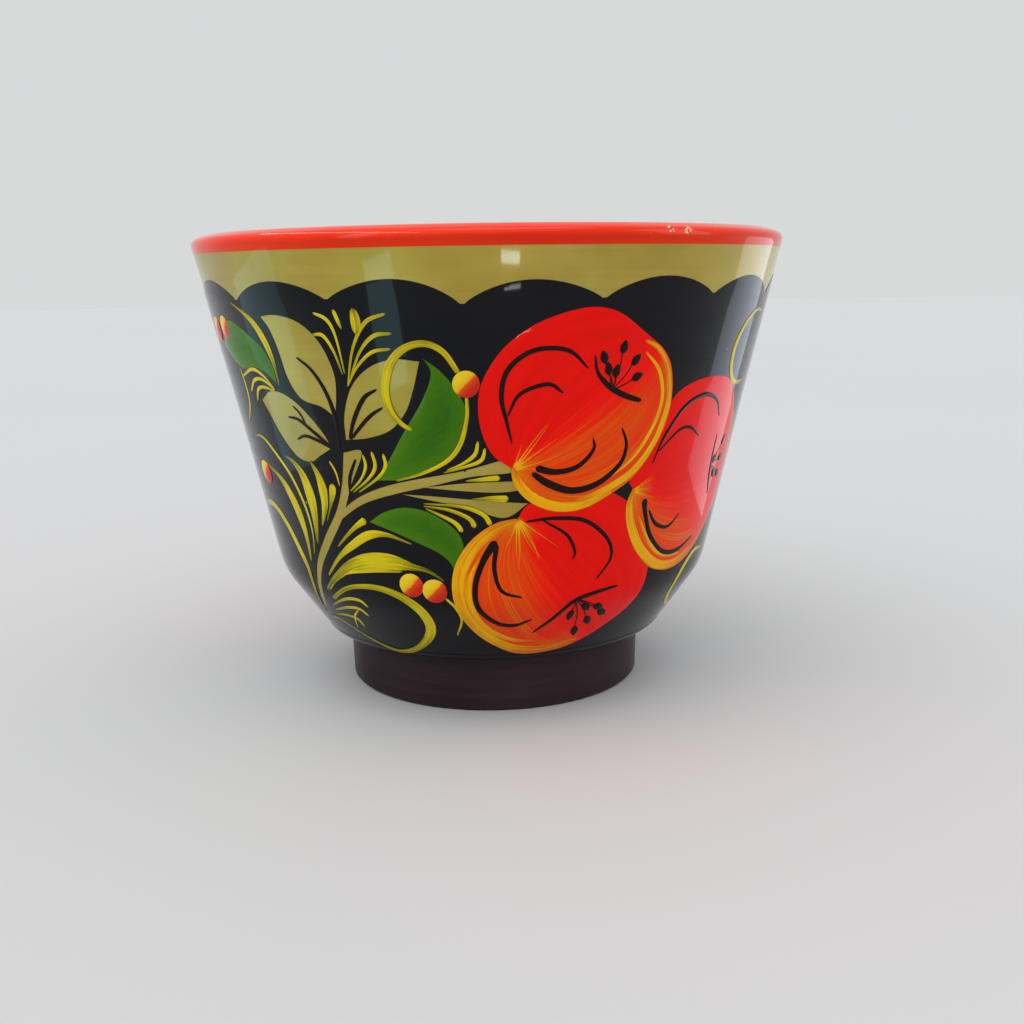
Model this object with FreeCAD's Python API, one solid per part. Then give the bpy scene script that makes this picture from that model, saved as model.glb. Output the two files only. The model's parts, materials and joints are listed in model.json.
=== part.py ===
"""A turned lime-wood bowl on a foot, primed, coated and painted in the khokhloma way.

Frame: millimetres, +Z up, origin at the centre of the foot's resting ring, -Y towards the painted front.
The wood is one lathe-turned piece.  Each coat on it is a solid of its own, in the order it is laid:
clay primer, then metal-powder coat on the wall, red enamel over the lip and lining, black enamel on
the foot, black ground with its scallops and reserved windows, and last the raised brush painting.
Angles of the painting run round the bowl in degrees from -Y towards +X; heights are millimetres.
"""

import FreeCAD
import Part
import math
import os

# ---- driving dimensions ------------------------------------------------------------------------
RIM_RADIUS = 52.5        # widest finished radius, just under the lip
BOWL_HEIGHT = 81.9       # top of the lip above the resting ring
LIP_DROP = 2.6           # from the top of the lip down to its widest ring
LIP_CROWN_IN = 2.7       # how far inside the widest ring the lip is highest
LIP_SIDE = 1.6           # how far the wall's line runs on above the widest ring, to the bead's corner
LIP_INNER_DROP = 0.7     # from the top of the lip down to where the inside wall begins
RED_BAND_HEIGHT = 3.2    # how far the red enamel comes down outside, from the top of the lip
WALL_AT_RIM = 5.3        # finished wall thickness behind the lip
WALL_AT_MIDDLE = 5.2     # finished wall thickness half way up
MIDDLE_HEIGHT = 51.2     # where the slightly hollow wall bends
MIDDLE_RADIUS = 45.95
CHINE_HEIGHT = 22.4      # where the wall turns in towards the foot
CHINE_RADIUS = 39.5
SHOULDER_STEP = 1.1      # height of the flat shoulder's edge above the foot
SHOULDER_LEDGE = 3.9     # how far the shoulder's edge stands out past the foot
FOOT_HEIGHT = 9.9
FOOT_RADIUS = 27.5       # foot, where it meets the bowl
FOOT_TAPER = 0.3         # how much smaller the foot is at the table
FOOT_CHAMFER = 0.6       # broken edge of the resting ring
FOOT_RING_WIDTH = 4.6
RECESS_DEPTH = 2.0
FLOOR_THICKNESS = 14.8   # wood and coats between the recess and the lowest inside point
FLOOR_RISE = 0.8         # the inside floor's edge above its middle
FLOOR_RADIUS = 34.6      # corner of the inside floor and the inside wall, before it is rounded

PRIMER = 0.25            # clay primer
COLOUR = 0.10            # metal-powder coat, red enamel, foot enamel
GROUND = 0.10            # black ground over the metal-powder coat
BRUSHWORK = 0.12         # raised oil painting over the ground
LINEWORK = 0.06          # dark strokes drawn over the fruit

SCALLOPS = 15            # arches of the black ground's upper edge
SCALLOP_PEAK = 74.2      # heights as drawn, like all of the painting
SCALLOP_VALLEY = 70.4
SCALLOP_SHOULDER = 73.1  # height of an arch a fifth of the way along it
GROUND_ROOM = 1.0        # blank ring of ground above the peaks, cut away with the scallops
CUT_ROOM = 6.0           # how far above the peaks that cut reaches
DRAWN_LOW = 10.23        # the drawing's height where the foot's enamel ends
DRAWN_HIGH = 78.7        # the drawing's height where the red enamel begins
FIRST_VALLEY = -4.4      # degrees
FOOT_JOIN_SHARE = 0.3    # how far out along the shoulder's underside the foot's enamel reaches
BOUQUETS = {"front": 0.0, "back": 180.0}   # turn of each copy of the bouquet, in degrees

BEAD = 2.4               # rounding of the lip's outer edge
BEAD_CUT = 0.25          # how far the rounded lip stays inside its corners
LIP_TOP_ROUND = 5.0
LIP_INNER_ROUND = 1.8
WALL_BEND_REACH = 2.14   # how far the wall's gentle bend spreads each side of its middle, outside
LINING_BEND_REACH = 6.15 # and inside
CHINE_ROUND = 12.0
SHOULDER_ROUND = 1.6
FOOT_FILLET = 0.6
FOOT_EDGE_ROUND = 0.5
RECESS_ROUND = 0.6
FLOOR_ROUND = 15.0

# ---- the finished section: (radius, height, rounding), from the recess's middle round to the floor's
RECESS_RADIUS = FOOT_RADIUS - FOOT_TAPER - FOOT_RING_WIDTH
FLOOR_HEIGHT = RECESS_DEPTH + FLOOR_THICKNESS
WALL_SLOPE = (RIM_RADIUS - MIDDLE_RADIUS) / (BOWL_HEIGHT - LIP_DROP - MIDDLE_HEIGHT)

RECESS_MIDDLE = (0.0, RECESS_DEPTH, 0)
RECESS_CORNER = (RECESS_RADIUS, RECESS_DEPTH, RECESS_ROUND)
RING_INNER = (RECESS_RADIUS, 0.0, 0)
RING_OUTER = (FOOT_RADIUS - FOOT_TAPER - FOOT_CHAMFER, 0.0, 0)
FOOT_EDGE = (FOOT_RADIUS - FOOT_TAPER, FOOT_CHAMFER, FOOT_EDGE_ROUND)
FOOT_TOP = (FOOT_RADIUS, FOOT_HEIGHT, FOOT_FILLET)
SHOULDER = (FOOT_RADIUS + SHOULDER_LEDGE, FOOT_HEIGHT + SHOULDER_STEP, SHOULDER_ROUND)
CHINE = (CHINE_RADIUS, CHINE_HEIGHT, CHINE_ROUND)
BRIM = (RIM_RADIUS + WALL_SLOPE * LIP_SIDE / 2 + BEAD_CUT, BOWL_HEIGHT - LIP_DROP + LIP_SIDE, BEAD)
LIP_TOP = (RIM_RADIUS - LIP_CROWN_IN, BOWL_HEIGHT + BEAD_CUT, LIP_TOP_ROUND)
LIP_INNER = (RIM_RADIUS - WALL_AT_RIM, BOWL_HEIGHT - LIP_INNER_DROP, LIP_INNER_ROUND)
FLOOR_CORNER = (FLOOR_RADIUS, FLOOR_HEIGHT + FLOOR_RISE, FLOOR_ROUND)
FLOOR_MIDDLE = (0.0, FLOOR_HEIGHT, 0)


def unit(a, b):
    length = math.hypot(b[0] - a[0], b[1] - a[1])
    return (b[0] - a[0]) / length, (b[1] - a[1]) / length


def half_angle(before, corner, after):
    """Half of the angle between the two runs that meet at a corner."""
    a, b = unit(corner, before), unit(corner, after)
    return math.acos(max(-1.0, min(1.0, a[0] * b[0] + a[1] * b[1]))) / 2


def bend(before, radius, height, after, reach):
    """A corner whose arc spreads this far along both of its runs."""
    return (radius, height, reach * math.tan(half_angle(before, (radius, height), after)))


MIDDLE = bend(CHINE, MIDDLE_RADIUS, MIDDLE_HEIGHT, BRIM, WALL_BEND_REACH)
MIDDLE_INNER = bend(FLOOR_CORNER, MIDDLE_RADIUS - WALL_AT_MIDDLE, MIDDLE_HEIGHT, LIP_INNER,
                    LINING_BEND_REACH)

UNDERSIDE = [RECESS_MIDDLE, RECESS_CORNER, RING_INNER]
OUTSIDE = [RING_OUTER, FOOT_EDGE, FOOT_TOP, SHOULDER, CHINE, MIDDLE, BRIM, LIP_TOP, LIP_INNER,
           MIDDLE_INNER, FLOOR_CORNER, FLOOR_MIDDLE]


def between(a, b, share):
    """The point that share of the way along the straight run from a to b, with no rounding."""
    return (a[0] + (b[0] - a[0]) * share, a[1] + (b[1] - a[1]) * share, 0)


def at_height(a, b, height):
    """The point of the run from a to b at this height."""
    return between(a, b, (height - a[1]) / (b[1] - a[1]))


FOOT_JOIN = between(FOOT_TOP, SHOULDER, FOOT_JOIN_SHARE)               # foot enamel meets the ground
RED_EDGE = at_height(MIDDLE, BRIM, BOWL_HEIGHT - RED_BAND_HEIGHT)      # red enamel meets the metal coat


def on_bowl(height):
    """Where a height of the painting, as drawn, comes on this bowl's wall."""
    share = (height - DRAWN_LOW) / (DRAWN_HIGH - DRAWN_LOW)
    return FOOT_JOIN[1] + share * (RED_EDGE[1] - FOOT_JOIN[1])


GROUND_TOP = at_height(MIDDLE, BRIM, on_bowl(SCALLOP_PEAK + GROUND_ROOM))


# ---- lathe work --------------------------------------------------------------------------------
def offset_path(path, distances):
    """The path moved outwards by one distance for each of its straight runs; corners stay corners."""
    ways = [unit(a, b) for a, b in zip(path, path[1:])]
    outward = [(dz, -dr) for dr, dz in ways]
    moved = []
    for i, (r, z, rounding) in enumerate(path):
        before, after = max(i - 1, 0), min(i, len(ways) - 1)
        n1, d1 = outward[before], distances[before]
        n2, d2 = outward[after], distances[after]
        turn = n1[0] * n2[1] - n1[1] * n2[0]
        if abs(turn) < 1e-9:
            moved.append((r + n1[0] * d1, z + n1[1] * d1, rounding))
            continue
        c1 = n1[0] * r + n1[1] * z + d1
        c2 = n2[0] * r + n2[1] * z + d2
        sign = 1 if turn > 0 else -1
        corner = max(rounding + sign * d1, 0.05) if rounding else 0
        moved.append(((c1 * n2[1] - c2 * n1[1]) / turn, (n1[0] * c2 - n2[0] * c1) / turn, corner))
    return moved


def point(r, z):
    return FreeCAD.Vector(r, 0, z)


def joined(a, b):
    return Part.LineSegment(point(*a[:2]), point(*b[:2])).toShape()


def rounded_edges(path):
    """Straight runs joined by tangent arcs, in the XZ plane; an arc takes at most half of a run."""
    edges, start = [], path[0]
    for before, corner, after in zip(path, path[1:], path[2:]):
        a, b = unit(corner, before), unit(corner, after)
        half = half_angle(before, corner, after)
        radius = corner[2]
        if not radius:
            edges.append(joined(start, corner))
            start = corner
            continue
        run = min(math.dist(before[:2], corner[:2]), math.dist(after[:2], corner[:2]))
        radius = min(radius, run / 2 * math.tan(half))
        back = radius / math.tan(half)
        first = (corner[0] + a[0] * back, corner[1] + a[1] * back)
        last = (corner[0] + b[0] * back, corner[1] + b[1] * back)
        reach = radius / math.sin(half)
        mid = (a[0] + b[0], a[1] + b[1])
        size = math.hypot(*mid)
        centre = (corner[0] + mid[0] / size * reach, corner[1] + mid[1] / size * reach)
        towards = unit(centre, corner)
        middle = (centre[0] + towards[0] * radius, centre[1] + towards[1] * radius)
        edges.append(joined(start, first))
        edges.append(Part.Arc(point(*first), point(*middle), point(*last)).toShape())
        start = last
    edges.append(joined(start, path[-1]))
    return edges


def turned(edges):
    """The solid that a closed section sweeps round the bowl's axis."""
    wire = Part.Wire(Part.__sortEdges__(edges))
    face = Part.Face(wire)
    solid = face.revolve(FreeCAD.Vector(0, 0, 0), FreeCAD.Vector(0, 0, 1), 360)
    return solid if solid.ShapeType == "Solid" else Part.Solid(solid.Shells[0])


def line_at(path, distances):
    """The section's line moved out by these distances; an end on the axis stays on it."""
    moved = offset_path(path, distances)
    for end in (0, -1):
        if path[end][0] == 0:
            moved[end] = (0.0, moved[end][1], 0)
    return moved


def skin(path, inner, outer):
    """A coat along this stretch of the section, from inner to outer millimetres off its line."""
    low = line_at(path, [inner] * (len(path) - 1))
    high = line_at(path, [outer] * (len(path) - 1))
    ends = [joined(low[0], high[0]), joined(low[-1], high[-1])]
    return turned(rounded_edges(low) + rounded_edges(high) + ends)


def wood():
    """The turned blank: the finished section less primer and colour, but bare on the resting ring."""
    path = UNDERSIDE + OUTSIDE
    distances = [-PRIMER - COLOUR] * (len(path) - 1)
    distances[len(UNDERSIDE) - 1] = 0.0
    path = line_at(path, distances)
    return turned(rounded_edges(path) + [joined(path[0], path[-1])])


# ---- brush work --------------------------------------------------------------------------------
STENCIL_FROM = FOOT_RADIUS * 0.7     # a stencil starts well inside the painted wall
STENCIL_TO = RIM_RADIUS * 1.3        # and ends well outside it


def on_plane(angle, height, facing, distance):
    """A point of the painting, thrown out from the axis onto a plane that far out, facing that way."""
    side = distance * math.tan(math.radians(angle - facing))
    turn = math.radians(facing)
    return FreeCAD.Vector(distance * math.sin(turn) + side * math.cos(turn),
                          -distance * math.cos(turn) + side * math.sin(turn), height)


def spline(points, closed=False):
    curve = Part.BSplineCurve()
    curve.interpolate(Points=points, PeriodicFlag=closed)
    return curve.toShape()


def stencil(runs, turn=0.0):
    """A solid that cuts a painted outline out of a coat, with its sides along lines from the axis.

    runs are smooth curves end to end; a single run is one closed curve.
    """
    angles = [a + turn for run in runs for a, _ in run]
    facing = (min(angles) + max(angles)) / 2
    wires = []
    for distance in (STENCIL_FROM, STENCIL_TO):
        edges = []
        for run in runs:
            points = [on_plane(a + turn, on_bowl(z), facing, distance) for a, z in run]
            if len(runs) == 1:
                edges.append(spline(points, closed=True))
            elif len(points) == 2:
                edges.append(Part.LineSegment(*points).toShape())
            else:
                edges.append(spline(points))
        wires.append(Part.Wire(edges))
    return Part.makeLoft(wires, True, True)


def between_edges(one, other):
    """The outline of a brush shape given as its two edges, both from its start to its tip."""
    return [one, other[::-1]]


def disc(angle, height, radius):
    """A round dab as a closed curve of this radius on the wall."""
    steps = 8
    span = math.degrees(radius / wall_radius(on_bowl(height)))
    return [[(angle + span * math.cos(2 * math.pi * k / steps),
              height + radius * math.sin(2 * math.pi * k / steps)) for k in range(steps)]]


def wall_radius(height):
    """The finished wall's radius at a height between the shoulder and the brim."""
    for a, b in zip([SHOULDER, CHINE, MIDDLE], [CHINE, MIDDLE, BRIM]):
        if a[1] <= height <= b[1]:
            return a[0] + (b[0] - a[0]) * (height - a[1]) / (b[1] - a[1])
    return SHOULDER[0]


def ribbon(line):
    """The outline of a brush line given as (angle, height, width) points."""
    left, right = [], []
    for i, (angle, height, width) in enumerate(line):
        a, b = line[max(i - 1, 0)], line[min(i + 1, len(line) - 1)]
        scale = wall_radius(on_bowl(height)) * math.pi / 180
        du, dv = (b[0] - a[0]) * scale, b[1] - a[1]
        size = math.hypot(du, dv)
        across, up = -dv / size * width / 2 / scale, du / size * width / 2
        left.append((angle + across, height + up))
        right.append((angle - across, height - up))
    return [left, [left[-1], right[-1]], right[::-1], [right[0], left[0]]]


# Fruit: the edge that carries the orange crescent, then the far edge, both from stalk to crown.
FRUIT = {
    "upper": ([(4.2, 45.6), (4.9, 43.2), (7.5, 40.4), (11.6, 38.8), (16, 38.4), (20.5, 38.9), (26.2, 40.7),
               (30.6, 43), (34.9, 46.8), (37.1, 52), (37.2, 56), (35.8, 60.3), (32.8, 63.4), (27.5, 66.6)],
              [(4.2, 45.6), (0.6, 48), (-1.6, 52), (-2.4, 56), (-1.4, 59.7), (2.3, 64), (7.6, 67.2),
               (14.9, 69.5), (21, 69.6), (27.5, 66.6)]),
    "lower": ([(5.2, 37.3), (1, 36.9), (-4.4, 34), (-8, 28.1), (-8.8, 25), (-8.3, 22.5), (-4.7, 17.2),
               (3.3, 13), (10.6, 12.2), (19.9, 12.7), (28.2, 14.8), (34.5, 17.6)],
              [(5.2, 37.3), (7.3, 39.6), (13, 40.9), (20, 41.2), (26, 40.4), (31.5, 38), (36.3, 33.8),
               (39.2, 29), (39.6, 25), (38.2, 21), (34.5, 17.6)]),
    "right": ([(31, 40.3), (30.4, 38), (31.2, 35), (33.7, 31.3), (38.3, 27.9), (43, 25.9), (48, 25.2),
               (53, 25.8), (58, 27.4), (63, 30), (67.5, 33), (70.8, 36.5), (71.8, 40)],
              [(31, 40.3), (29.6, 42.5), (33, 47.5), (36, 52), (39.3, 56), (43.5, 57.5), (50.7, 58),
               (57, 57), (61.5, 54.7), (66, 51), (70, 46.5), (71.8, 40)]),
}

# Green leaves, as two edges from base to tip.
GREEN = {
    "upper": ([(-23.7, 43.5), (-19.8, 47.7), (-16.4, 52), (-12.4, 56.5), (-10.4, 60), (-11.4, 62.5)],
              [(-23.7, 43.5), (-17, 43.9), (-11, 46.1), (-6.4, 50.7), (-5.1, 54.7), (-6.5, 58),
               (-8.6, 60.6), (-11.4, 62.5)]),
    "lower": ([(-27.1, 36.2), (-22.5, 38.5), (-17.5, 38.9), (-12.3, 38.1), (-7.9, 36.3), (-6.3, 33.5),
               (-6.8, 30.5), (-7.6, 26.5)],
              [(-27.1, 36.2), (-22.5, 35), (-16.4, 33.2), (-10.2, 30.9), (-8.7, 29), (-9.1, 26.4),
               (-7.6, 26.5)]),
    "side": ([(-45.4, 58.2), (-45.6, 61.3), (-47.1, 63), (-49.7, 65.1), (-54.5, 67.4), (-60, 67.2),
              (-65.5, 63.5)],
             [(-45.4, 58.2), (-49.7, 59.7), (-55, 60.1), (-60.5, 60.5), (-65.5, 63.5)]),
}

# Brush strokes, as (angle, height, width) along the brush's path.
FEATHERS = {     # the long yellow leaves
    1: [(-46, 22.6, 0.8), (-41, 25.7, 1.6), (-35, 28.2, 3.0), (-29, 29.4, 3.9), (-23.5, 29.6, 3.4),
        (-18, 28.9, 1.5), (-14.5, 28.1, 0.8), (-11.2, 26.8, 0.4)],
    2: [(-43.5, 25.6, 0.5), (-38, 29.3, 1.1), (-32.5, 32.1, 1.7), (-27.5, 33.9, 1.6), (-22.8, 34.1, 0.7),
        (-17.9, 33, 0.4)],
    3: [(-49.3, 27.4, 0.4), (-48.8, 31.5, 1.3), (-49.3, 35.5, 2.4), (-51, 39, 2.3), (-54, 41.9, 1.3),
        (-59, 43.8, 0.4)],
    4: [(-44.9, 31, 0.4), (-43.6, 35.7, 1.8), (-43.2, 39.5, 2.8), (-44.1, 42.8, 2.1), (-46.3, 45, 1.0),
        (-49, 46, 0.4)],
    5: [(-41.8, 34, 0.4), (-39.2, 38, 1.5), (-38.6, 41, 2.2), (-39.2, 43.6, 1.4), (-40.5, 45.6, 0.4)],
    6: [(-44.7, 58.2, 0.4), (-44.9, 61, 1.0), (-45.8, 64.6, 1.7), (-48, 67.5, 1.5), (-51, 69.3, 0.8),
        (-54.7, 70.8, 0.4)],
}
GRASS = [        # the thin yellow strokes between the leaves
    [(-27.3, 60.4, 0.4), (-27.5, 64.5, 0.8), (-28.7, 68, 0.9), (-31.4, 69.3, 0.4)],
    [(-28.1, 60.6, 0.4), (-29.1, 63.9, 0.7), (-30.6, 66, 0.7), (-32.7, 66.1, 0.4)],
    [(-26, 60, 0.4), (-24.7, 63.9, 0.7), (-22, 67.3, 0.8), (-17.6, 69.2, 0.4)],
    [(-25.4, 60.5, 0.4), (-23.4, 63.4, 0.6), (-20.4, 65.7, 0.7), (-16.9, 66.3, 0.4)],
    [(-46.3, 57.4, 0.4), (-49.7, 58.9, 0.7), (-53.1, 59.3, 0.7), (-58.4, 58.7, 0.4)],
    [(-46.6, 56.8, 0.4), (-51.4, 57.9, 0.7), (-56.4, 56.8, 0.4)],
    [(-28.2, 41.4, 0.4), (-25.5, 43.4, 0.7), (-23.6, 45.6, 0.8), (-24.1, 48, 0.4)],
    [(-26.4, 41.7, 0.4), (-23.1, 43.9, 0.7), (-21.3, 45.8, 0.8), (-21.6, 47.7, 0.4)],
    [(-47.9, 19.3, 0.4), (-42.4, 20.9, 0.7), (-37.4, 21.7, 0.8), (-33.1, 20.7, 0.4)],
    [(-49.6, 17.2, 0.4), (-44.2, 17.7, 0.7), (-39.4, 16.2, 0.4)],
    [(-13.8, 39.7, 0.4), (-8, 39, 0.8), (-3.4, 37, 0.5)],
]
FRUIT_LINES = [  # the dark strokes drawn over the fruit
    [(3.9, 49.6, 0.5), (2, 55.5, 1.0), (2.9, 60.8, 1.0), (7.6, 63.7, 0.9), (13.6, 63.6, 0.7),
     (17.4, 61, 0.4)],
    [(3.9, 53.9, 0.4), (5.8, 57, 0.7), (10.3, 58.3, 0.7), (13.2, 57.2, 0.4)],
    [(9.2, 46, 1.0), (14.9, 45.2, 1.2), (19.2, 46.7, 0.9), (19.9, 49.9, 0.4)],
    [(8.8, 43.6, 0.9), (15.6, 41.9, 1.1), (21.6, 42.5, 0.9), (26.5, 45.3, 0.8), (26, 51, 0.4)],
    [(18.7, 62.7, 0.4), (20.4, 59.3, 0.8), (24.2, 56.9, 0.8), (29.5, 55.3, 0.5)],
    [(0.8, 33.8, 0.9), (-3.4, 29, 1.1), (-3.8, 23, 1.1), (0.6, 19.3, 0.9), (9, 19.6, 0.4)],
    [(1.1, 31.4, 0.5), (0.3, 27.5, 0.8), (2.8, 24.4, 0.8), (6.4, 24, 0.4)],
    [(9, 36.8, 0.8), (16.6, 37, 1.1), (24.5, 34.1, 1.0), (27.3, 29.6, 0.8), (24.4, 26.1, 0.4)],
    [(10.1, 16.9, 0.4), (16, 20.6, 0.8), (23, 23.3, 0.8), (30.3, 24.3, 0.5)],
    [(36.5, 45.5, 0.6), (39.6, 51, 1.0), (45.7, 54.6, 1.0), (52, 54, 0.8), (55.9, 51, 0.4)],
    [(38.6, 46.6, 0.5), (42.4, 49.3, 0.8), (48.4, 48.4, 0.4)],
    [(36.4, 37.6, 0.9), (39.2, 32.3, 1.1), (43.9, 29.4, 1.0), (50, 28.8, 0.8), (56, 30.2, 0.4)],
    [(57.2, 48, 0.4), (57.6, 43.5, 0.8), (59.8, 37, 0.5)],
]

# Gold shapes that the black ground leaves open, as two edges.
RESERVED = [
    ([(-31.3, 53.2), (-36, 55.2), (-40.8, 57.2), (-42.6, 61.5), (-43.8, 65.3), (-45.6, 68.7)],
     [(-31.3, 53.2), (-29.9, 56), (-29.7, 60), (-32, 65), (-37, 68), (-41.5, 69), (-45.6, 68.7)]),
    ([(-33.4, 48.2), (-37.4, 46.4), (-42.1, 45.5), (-46.7, 46.8), (-50.1, 50.9), (-52.8, 55)],
     [(-33.4, 48.2), (-35.7, 51.2), (-39, 54.2), (-43, 56.4), (-48.5, 56.6), (-52.8, 55)]),
    ([(-29.4, 49.7), (-28.4, 54.7), (-25.4, 59.5), (-20.5, 62), (-16, 62.6), (-12.5, 62.4)],
     [(-29.4, 49.7), (-23.4, 50.4), (-18.8, 51.7), (-15.4, 55.2), (-13.1, 60), (-12.5, 62.4)]),
    ([(-57, 16.6), (-50.6, 21.4), (-46.6, 28), (-41, 32.7), (-36, 37.4), (-33, 42.5), (-30.8, 47.5)],
     [(-57, 16.6), (-49.6, 20.9), (-45.3, 27.3), (-39.8, 31.8), (-34.6, 36.5), (-30.3, 42.7), (-26.4, 47.9),
      (-30.8, 47.5)]),
    ([(-38.5, 33.9), (-34.6, 37.5), (-29, 40.4), (-22, 42.7), (-14.6, 44), (-6, 45.3), (1.5, 46.8)],
     [(-38.5, 33.9), (-33.6, 36.6), (-27.6, 39.2), (-20, 41), (-12, 42.6), (-4, 44.3), (4.4, 45),
      (1.5, 46.8)]),
    ([(-14, 42.6), (-5, 43.4), (5, 43.5)], [(-14, 42.6), (-6, 42), (1, 41.7), (5.6, 42.1), (5, 43.5)]),
    ([(-18, 41.4), (-12, 41.2), (-4, 40.7), (7.4, 39.8)],
     [(-18, 41.4), (-12, 40.3), (-5, 39.3), (2.4, 37.5), (7.4, 39.8)]),
]

CURLS = {
    "upper": [(-8.4, 54.3, 0.3), (-12.5, 51.6, 0.5), (-17, 52.5, 1.0), (-19.4, 57, 2.0), (-17.4, 62.2, 1.7),
              (-12, 65, 1.4), (-7.4, 63.4, 1.2), (-5.3, 60.9, 1.0)],
    "lower": [(-44, 14.6, 0.5), (-36, 12.8, 0.7), (-26, 12.6, 1.1), (-19.5, 14.7, 1.8), (-16.5, 18.5, 2.6),
              (-19.7, 22.4, 2.0), (-27, 24.6, 1.3), (-36, 24.4, 1.1), (-44.5, 21, 0.8)],
    "side": [(67, 68.4, 0.6), (61.5, 68, 1.2), (56.8, 64, 1.5), (56.6, 59.3, 1.5), (61.5, 56.4, 1.2),
             (66.5, 57, 0.6)],
}

BERRIES = [(-4.2, 58.8, 2.0), (-19.1, 25.8, 2.0), (-13.6, 24.9, 1.95), (-62.5, 66.4, 2.0), (-69, 66.0, 2.0),
           (-62.4, 41.4, 2.0)]


def scalloped_ground():
    """The black ground's plain ring, less the gold above each arch of its upper edge."""
    ring = skin([FOOT_JOIN, SHOULDER, CHINE, MIDDLE, GROUND_TOP], 0.0, GROUND)
    step = 360.0 / SCALLOPS
    top = SCALLOP_PEAK + CUT_ROOM
    tools = []
    for k in range(SCALLOPS):
        left = FIRST_VALLEY + k * step
        arch = [(left, SCALLOP_VALLEY), (left + step * 0.2, SCALLOP_SHOULDER),
                (left + step * 0.5, SCALLOP_PEAK), (left + step * 0.8, SCALLOP_SHOULDER),
                (left + step, SCALLOP_VALLEY)]
        tools.append(stencil([arch, [arch[-1], (left + step, top)], [(left + step, top), (left, top)],
                              [(left, top), arch[0]]]))
    return ring.cut(tools)


def build():
    nodes = {"turned_wood_body": wood()}
    primed = [skin(side, -PRIMER - COLOUR, -COLOUR) for side in (OUTSIDE, UNDERSIDE)]
    nodes["clay_primer"] = Part.Compound(primed)
    nodes["metal_powder_coat"] = skin([FOOT_JOIN, SHOULDER, CHINE, MIDDLE, RED_EDGE], -COLOUR, 0.0)
    nodes["red_lip_and_lining"] = skin([RED_EDGE] + OUTSIDE[OUTSIDE.index(BRIM):], -COLOUR, 0.0)
    nodes["black_foot_enamel"] = skin([RING_OUTER, FOOT_EDGE, FOOT_TOP, FOOT_JOIN], -COLOUR, 0.0)
    nodes["black_recess_enamel"] = skin(UNDERSIDE, -COLOUR, 0.0)

    painted = [FOOT_JOIN, SHOULDER, CHINE, MIDDLE, GROUND_TOP]
    paint = skin(painted, GROUND, GROUND + BRUSHWORK)
    drawn = skin(painted, GROUND + BRUSHWORK, GROUND + BRUSHWORK + LINEWORK)
    windows = []
    for place, turn in BOUQUETS.items():
        windows += [stencil(between_edges(*edges), turn) for edges in RESERVED]
        upper, right, lower = (stencil(between_edges(*FRUIT[n]), turn) for n in ("upper", "right", "lower"))
        nodes[place + "_fruit_upper"] = paint.common(upper)
        nodes[place + "_fruit_right"] = paint.common(right).cut(upper)
        nodes[place + "_fruit_lower"] = paint.common(lower).cut([upper, right])
        lines = [drawn.common(stencil(ribbon(line), turn)) for line in FRUIT_LINES]
        nodes[place + "_fruit_lines"] = Part.Compound(lines)

        over = [upper, right, lower]      # what is painted on top of the next pieces
        dabs = [stencil(disc(*berry), turn) for berry in BERRIES]
        nodes[place + "_berries"] = Part.Compound([paint.common(dab) for dab in dabs])
        over += dabs
        curls = {name: stencil(ribbon(line), turn) for name, line in CURLS.items()}
        for name, curl in curls.items():
            nodes[place + "_curl_" + name] = paint.common(curl).cut(over)
        over += list(curls.values())
        strokes = [stencil(ribbon(line), turn) for line in GRASS]
        nodes[place + "_grass_strokes"] = Part.Compound([paint.common(s).cut(over) for s in strokes])
        over += strokes
        for name, line in FEATHERS.items():
            feather = stencil(ribbon(line), turn)
            nodes[place + "_yellow_leaf_" + str(name)] = paint.common(feather).cut(over)
            over.append(feather)
        for name, edges in GREEN.items():
            leaf = stencil(between_edges(*edges), turn)
            nodes[place + "_green_leaf_" + name] = paint.common(leaf).cut(over)
    nodes["black_ground"] = scalloped_ground().cut(windows)
    return nodes


def main():
    os.makedirs("parts", exist_ok=True)
    for name, shape in build().items():
        solids = shape.Solids
        print(name, len(solids), "solids", round(sum(s.Volume for s in solids), 2), "mm3",
              "valid" if shape.isValid() else "NOT VALID")
        whole = solids[0] if len(solids) == 1 else Part.Compound(solids)
        whole.exportStep("parts/" + name + ".step")


main()
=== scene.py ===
# %% [markdown]
# # A khokhloma bowl, painted piece by piece
# The real bowl is one lathe-turned piece of lime wood.  It is primed with clay, rubbed with metal powder,
# painted with brushes in oil colours and baked under clear lacquer, which turns the metal to gold.
# We build it the same way: turned coats first, then the black ground, then every brush stroke.
# All sizes are in millimetres until `place` turns them into Blender's metres.

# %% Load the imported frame
import json
import math
import random

import bmesh
import bpy
import numpy as np
from mathutils import Matrix, Vector
from mathutils.geometry import delaunay_2d_cdt

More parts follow.
